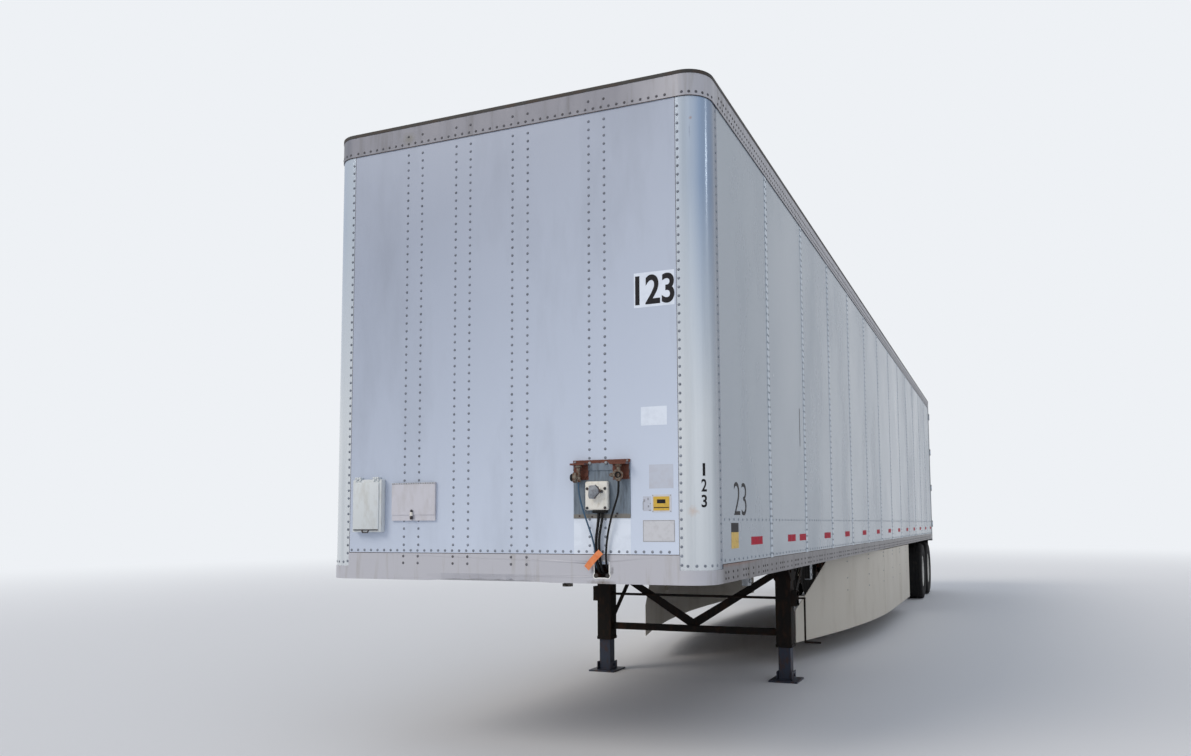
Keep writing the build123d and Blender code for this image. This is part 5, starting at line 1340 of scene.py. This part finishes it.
class TRAILER_OT_boxes(bpy.types.Operator):
    """Document box with its pan lid, and the permit holder's hinge and latch"""

    bl_idname = "trailer.boxes"
    bl_label = "Front boxes"

    def execute(self, context):
        low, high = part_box("document_box")
        left, right, foot, top = low.x, high.x, low.z, BOTTOM + 0.626
        pin = (WALL - 0.048, top + 0.008)
        back = WALL - 0.0405
        tray = block((left, right), (WALL - 0.040, WALL), (foot, top), edge=0.006)
        tray = [hollowed(tray, 0.004, 0.034)]
        lid = [block((left, right), (back - 0.004, back), (foot, top - 0.004), edge=0.0018)]
        pan = ((left + 0.010, right - 0.016), (back - 0.0118, back - 0.002), (foot + 0.016, top - 0.020))
        lid.append(block(*pan, edge=0.0045, segments=3))
        for x in (left + 0.040, right - 0.040):
            lug = (pin[0] - 0.006, WALL)
            tray.append(block(span(x, 0.006), lug, (top - 0.003, pin[1] + 0.006), edge=0.002))
            tray.append(drum((x - 0.022, *pin), (0.044, 0, 0), 0.003, sides=12, edge=0.0008))
            for way in SIDES:
                ear = (x + way * 0.009, x + way * 0.022)
                lid.append(drum((ear[0], *pin), (way * 0.013, 0, 0), 0.006, sides=20, edge=0.001))
                lid.append(block(ear, (back - 0.010, pin[0] + 0.003), (top - 0.012, pin[1]), edge=0.001))
        made = dress(tray, "document_tray", "van", "moulded_white")
        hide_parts("document_box")
        made = dress(lid, "document_pan_lid", "document_lid", "moulded_white")
        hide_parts("document_lid")
        # Painted shadow: a dark strip under the lower edge of the lid's raised pan
        shadow = (left + 0.012, right - 0.020)
        latch = [block(shadow, (back - 0.0125, back - 0.0035), (foot + 0.011, foot + 0.0165), edge=0.0012)]
        middle = (left + right) / 2 - 0.008
        for step in (-0.026, 0.026):
            start = (middle + step, back - 0.008, foot + 0.010)
            latch.append(drum(start, (-0.3 * step, -0.002, -0.014), 0.0035, sides=10, edge=0.001))
        grip = (middle - 0.022, back - 0.010, foot - 0.003)
        latch.append(drum(grip, (0.044, 0, 0), 0.003, sides=10, edge=0.001))
        dress(latch, "document_latch", "document_lid", "dark_casting")

        low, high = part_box("permit_cover")
        x, y, pitch = -0.6275, low.y, 0.0128
        start = (low.x + 0.004, WALL - 0.014, BOTTOM + 0.595)
        knuckle = drum(start, (0.008, 0, 0), 0.0046, sides=12, edge=0.001)
        hinge = in_row(knuckle, (pitch, 0, 0), int((high.x - low.x) / pitch))
        dress([hinge], "permit_hinge", "permit_cover", "dipped_zinc")
        knob = drum((x, y, BOTTOM + 0.424), (0, -0.010, 0), 0.008, sides=14, edge=0.002)
        loop = block(span(x, 0.009), (y - 0.010, y + 0.001), (BOTTOM + 0.371, BOTTOM + 0.392), edge=0.003)
        hollowed(loop, 0.004, 0.006)
        dress([knob, loop], "permit_catch", "permit_cover", "dark_casting")
        lever = block(span(x, 0.008), (y - 0.013, y + 0.001), (BOTTOM + 0.393, BOTTOM + 0.416), edge=0.003)
        dress([lever], "permit_lever", "permit_cover", "socket_white")
        return {"FINISHED"}


def bent(obj):
    """Wraps a flat piece, drawn on the plane y = 0 about x = 0, round the roadside front corner cover."""
    radius = BEND - SKIN
    cuts = ({"plane_co": (0.004 * step, 0, 0), "plane_no": (1, 0, 0)} for step in range(-4, 5))
    edited(obj, *(("bisect", cut) for cut in cuts))
    for vertex in obj.data.vertices:
        angle = math.radians(44.8) + vertex.co.x / radius
        reach = radius - vertex.co.y
        vertex.co = (BEND_X + reach * math.sin(angle), BEND_Y - reach * math.cos(angle), vertex.co.z)
    return obj


def digits(text, size, width, centre, weight=0.030):
    """Plain digits of a height and a width, thin vinyl on the plane y = 0; `weight` widens their strokes."""
    clear()
    bpy.ops.object.text_add(location=(0, 0, 0), rotation=(math.pi / 2, 0, 0))
    made = take(bpy.context.object)
    made.data.body = text
    made.data.align_x = "CENTER"
    made.data.size = size * 1.42
    made.data.extrude = 0.0004
    made.data.offset = size * weight
    bpy.ops.object.convert(target="MESH")
    settle(made)
    xs = [v.co.x for v in made.data.vertices]
    zs = [v.co.z for v in made.data.vertices]
    for vertex in made.data.vertices:
        vertex.co.x = (vertex.co.x - (min(xs) + max(xs)) / 2) * width / (max(xs) - min(xs)) + centre[0]
        vertex.co.z = (vertex.co.z - (min(zs) + max(zs)) / 2) * size / (max(zs) - min(zs)) + centre[1]
    return made


# Thin flat pieces on the front wall. Each has its slot and finish, and its plates: from one place across to
# another, from one height to another, the thickness and the rounded edge.
FRONT_PLATES = {
    "pale_films": ("white_plate", "pale_film", (
        ((0.475, 0.827), (0.166, 0.369), 0.0004, 0), ((0.893, 1.048), (0.888, 0.994), 0.0004, 0),
        ((0.856, 1.100), (1.564, 1.765), 0.0004, 0),
    )),
    "dull_films": ("white_plate", "dull_film", (
        ((0.939, 1.082), (0.533, 0.667), 0.0004, 0), ((0.902, 0.950), (0.408, 0.490), 0.0004, 0),
    )),
    "torn_film": ("white_plate", "grey_ink", (
        ((0.900, 0.904), (0.414, 0.462), 0.0007, 0), ((0.904, 0.914), (0.458, 0.474), 0.0007, 0),
        ((0.928, 0.936), (0.468, 0.482), 0.0007, 0), ((0.930, 0.938), (0.428, 0.440), 0.0007, 0),
        ((0.936, 0.950), (0.409, 0.415), 0.0007, 0), ((0.942, 0.948), (0.446, 0.452), 0.0007, 0),
    )),
    "paper_labels": ("white_plate", "paper_label", (
        ((0.899, 1.089), (0.236, 0.358), 0.0006, 0.0002),
        ((0.9045, 1.0835), (0.2415, 0.3525), 0.0012, 0.0002),
        ((0.956, 1.070), (0.401, 0.499), 0.0012, 0.0004),
    )),
    "label_border": ("grey_paint", "grey_ink", (((0.901, 1.087), (0.238, 0.356), 0.0009, 0.0002),)),
    "yellow_signs": ("grey_paint", "yellow_label", (((0.963, 1.058), (0.410, 0.488), 0.0022, 0.0006),)),
    "dark_signs": ("black_rubber", "vinyl_black", (
        ((0.985, 1.035), (0.450, 0.472), 0.0030, 0.0005), ((0.966, 1.055), (0.424, 0.429), 0.0026, 0.0003),
    )),
}
# Their plates on the roadside: from one place along to another, from one height to another
SIDE_PLATES = {"yellow_signs": ((0.42, 0.58), (0.19, 0.285)), "dark_signs": ((0.42, 0.58), (0.285, 0.34))}
# Stretches of red tape along the sides, from the front; behind them they repeat at the plates' pitch
TAPES = ((0.88, 1.175), (1.95, 2.22), (2.37, 2.615), (3.44, 3.75))
LAST_TAPE = (4.58, 4.87)
TAPE_PITCH = 1.22


def side_plate(y, z, edge):
    """A thin plate on the roadside wall."""
    along, height = (FRONT + y[0], FRONT + y[1]), (BOTTOM + z[0], BOTTOM + z[1])
    return block((SIDE - SUNK, SIDE + 0.0008), along, height, edge, segments=1)


class TRAILER_OT_markings(bpy.types.Operator):
    """Plain digits, blank labels, films, tapes and the patches where films have gone"""

    bl_idname = "trailer.markings"
    bl_label = "Markings"

    def execute(self, context):
        for name, (slot, finish, plates) in FRONT_PLATES.items():
            pieces = [plate(*facts) for facts in plates]
            if name in SIDE_PLATES:
                pieces.append(side_plate(*SIDE_PLATES[name], 0.0003))
            dress(pieces, name, "van", finish, smooth=0)
        places = [(x, z) for x in (0.9600, 1.0645) for z in (0.4055, 0.4945)]
        made = studs(places, 0.0008 - SKIN, 0.0024, 0.0028, 8, tip=0.0016)
        dress(made, "sign_studs", "van", "rivet_metal")

        number = context.scene.trailer_sizes.number
        large = digits(number, 0.172, 0.236, (0.982, BOTTOM + 1.663))
        large.data.transform(Matrix.Translation((0, WALL - 0.0008, 0)))
        pieces = [large, side_plate((2.453, 2.467), (0.94, 1.24), 0.0004)]
        for i, one in enumerate(number):
            width = 0.016 if one == "1" else 0.034
            pieces.append(bent(digits(one, 0.070, width, (0, BOTTOM + 0.634 - 0.087 * i))))
        for side in SIDES:
            thin = digits(number[1:], 0.198, 0.285, (0, BOTTOM + 0.484), weight=-0.012)
            there = Matrix.Translation((side * (SIDE + 0.0004), FRONT + 0.632, 0))
            thin.data.transform(there @ Matrix.Rotation(side * math.pi / 2, 4, "Z"))
            pieces.append(thin)
        dress(pieces, "digits", "van", "vinyl_black", smooth=0)

        spans = list(TAPES)
        start, end = LAST_TAPE
        while start < SIDE_END - FRONT - 0.4:
            spans.append((start, end))
            start, end = start + TAPE_PITCH, end + TAPE_PITCH
        face, height = (SIDE - SUNK, SIDE + 0.0005), (BOTTOM + 0.202, BOTTOM + 0.253)
        tapes = [block(face, (FRONT + start, FRONT + end), height) for start, end in spans]
        dress(mirrored(tapes), "side_tapes", "van", "red_tape", smooth=0)
        return {"FINISHED"}


BACKDROP = opaque("#EEF1F5")


def seen_rays(tree):
    """One for rays from the camera, a mirror or through glass, and nothing for the light itself."""
    path = node(tree, "LightPath").outputs
    both = node(tree, "Math", {0: path["Is Camera Ray"], 1: path["Is Glossy Ray"]}, operation="MAXIMUM")
    return node(tree, "Math", {0: both, 1: path["Is Transmission Ray"]}, operation="MAXIMUM")


def make_ground():
    """Pale matt floor that melts into the backdrop far from the trailer, so no horizon shows."""
    tree, shader = new_finish("pale_floor")
    shader.inputs["Base Color"].default_value = opaque("#E4E5E8")
    shader.inputs["Roughness"].default_value = 0.9
    place = node(tree, "TexCoord").outputs["Object"]
    drawn_in = node(tree, "VectorMath", {0: place, 1: (1.0, 0.62, 1.0)}, operation="MULTIPLY")
    reach = node(tree, "VectorMath", {0: drawn_in}, operation="LENGTH").outputs["Value"]
    ends = {"From Min": 7, "From Max": 30}
    far = node(tree, "MapRange", {"Value": reach, **ends}, interpolation_type="SMOOTHSTEP")
    share = node(tree, "Math", {0: far, 1: seen_rays(tree)}, operation="MULTIPLY")
    glow = node(tree, "Emission", {"Color": BACKDROP, "Strength": 1.0})
    melt = node(tree, "MixShader", {0: share, 1: shader, 2: glow})
    tree.links.new(melt.outputs[0], tree.nodes["Material Output"].inputs["Surface"])


def make_world():
    """Soft sky light, seen as the plain backdrop."""
    world = bpy.data.worlds.new("studio")
    world.use_nodes = True
    tree = world.node_tree
    tree.nodes.clear()
    light = node(tree, "Background", {"Color": opaque("#E3E9F2"), "Strength": 0.66})
    back = node(tree, "Background", {"Color": BACKDROP, "Strength": 1.0})
    node(tree, "OutputWorld", {0: node(tree, "MixShader", {0: seen_rays(tree), 1: light, 2: back})})
    return world


# The camera fitted to the photograph: its place, turns in degrees, and its lens and shift in pixels
CAMERA = (2.776, FRONT - 4.902, 1.416)
YAW, PITCH, ROLL = math.radians(22.923), math.radians(4.74), math.radians(-0.294)
SENSOR, PIXELS = 36, 1191
FOCAL, SHIFT = 936.8, (-14.3, 68.5)
# Each lamp: strength, width, its height and direction in degrees, and its colour
LAMP_LIGHTS = {
    "key": (1.20, 30, 52, -36, "#FFF6EA"),
    "fill": (0.17, 60, 65, 48, "#EAF1FF"),
    "glint": (0.045, 2, 68.2, 105.2, "#FFF4E4"),
}


class TRAILER_OT_stage(bpy.types.Operator):
    """Camera, lamps, world and floor"""

    bl_idname = "trailer.stage"
    bl_label = "Stage"

    def execute(self, context):
        camera = take(bpy.data.objects.new("camera", bpy.data.cameras.new("camera")), link=True)
        forward = Vector((-math.sin(YAW) * math.cos(PITCH), math.cos(YAW) * math.cos(PITCH), math.sin(PITCH)))
        level = Vector((math.cos(YAW), math.sin(YAW), 0))
        upright = level.cross(forward)
        right = level * math.cos(ROLL) + upright * math.sin(ROLL)
        up = upright * math.cos(ROLL) - level * math.sin(ROLL)
        turn = Matrix((right, up, -forward)).transposed().to_4x4()
        camera.matrix_world = Matrix.Translation(CAMERA) @ turn
        camera.data.sensor_width = SENSOR
        camera.data.lens = SENSOR * FOCAL / PIXELS
        camera.data.shift_x = SHIFT[0] / PIXELS
        camera.data.shift_y = SHIFT[1] / PIXELS
        context.scene.camera = camera
        clear()
        bpy.ops.mesh.primitive_plane_add(size=400, location=(0, 0, 0))
        floor = settle(bpy.context.object)
        floor.name = "floor"
        make_ground()
        floor.data.materials.append(bpy.data.materials["pale_floor"])
        context.scene.world = make_world()
        for name, (strength, width, down, turn, colour) in LAMP_LIGHTS.items():
            lamp = bpy.data.lights.new(name, "SUN")
            lamp.energy = strength
            lamp.angle = math.radians(width)
            lamp.color = linear(colour)
            hung = take(bpy.data.objects.new(name, lamp), link=True)
            hung.rotation_euler = (math.radians(down), 0, math.radians(turn))
        context.scene.view_settings.view_transform = "Standard"
        return {"FINISHED"}


OPERATORS = (
    TRAILER_OT_stage,
    TRAILER_OT_finishes,
    TRAILER_OT_front_rail,
    TRAILER_OT_lines,
    TRAILER_OT_rivets,
    TRAILER_OT_seams,
    TRAILER_OT_service_plate,
    TRAILER_OT_boxes,
    TRAILER_OT_markings,
    TRAILER_OT_tyres,
    TRAILER_OT_wheels,
    TRAILER_OT_bogie,
    TRAILER_OT_rear,
    TRAILER_OT_landing_gear,
    TRAILER_OT_skirts,
)


class TRAILER_PT_panel(bpy.types.Panel):
    """Sidebar panel that lists the pieces"""

    bl_label = "Trailer"
    bl_idname = "TRAILER_PT_panel"
    bl_space_type = "VIEW_3D"
    bl_region_type = "UI"
    bl_category = "Trailer"

    def draw(self, context):
        for group in (context.scene.trailer_colours, context.scene.trailer_sizes):
            for name in group.__annotations__:
                self.layout.prop(group, name)
        for operator in OPERATORS:
            self.layout.operator(operator.bl_idname)


CLASSES = (TrailerColours, TrailerSizes, *OPERATORS, TRAILER_PT_panel)


def register():
    for one in CLASSES:
        bpy.utils.register_class(one)
    bpy.types.Scene.trailer_colours = PointerProperty(type=TrailerColours)
    bpy.types.Scene.trailer_sizes = PointerProperty(type=TrailerSizes)


def unregister():
    del bpy.types.Scene.trailer_sizes
    del bpy.types.Scene.trailer_colours
    for one in reversed(CLASSES):
        bpy.utils.unregister_class(one)


def main():
    """Makes every piece."""
    register()
    clear()
    for operator in OPERATORS:
        group, name = operator.bl_idname.split(".")
        getattr(getattr(bpy.ops, group), name)()


if __name__ == "__main__":
    main()
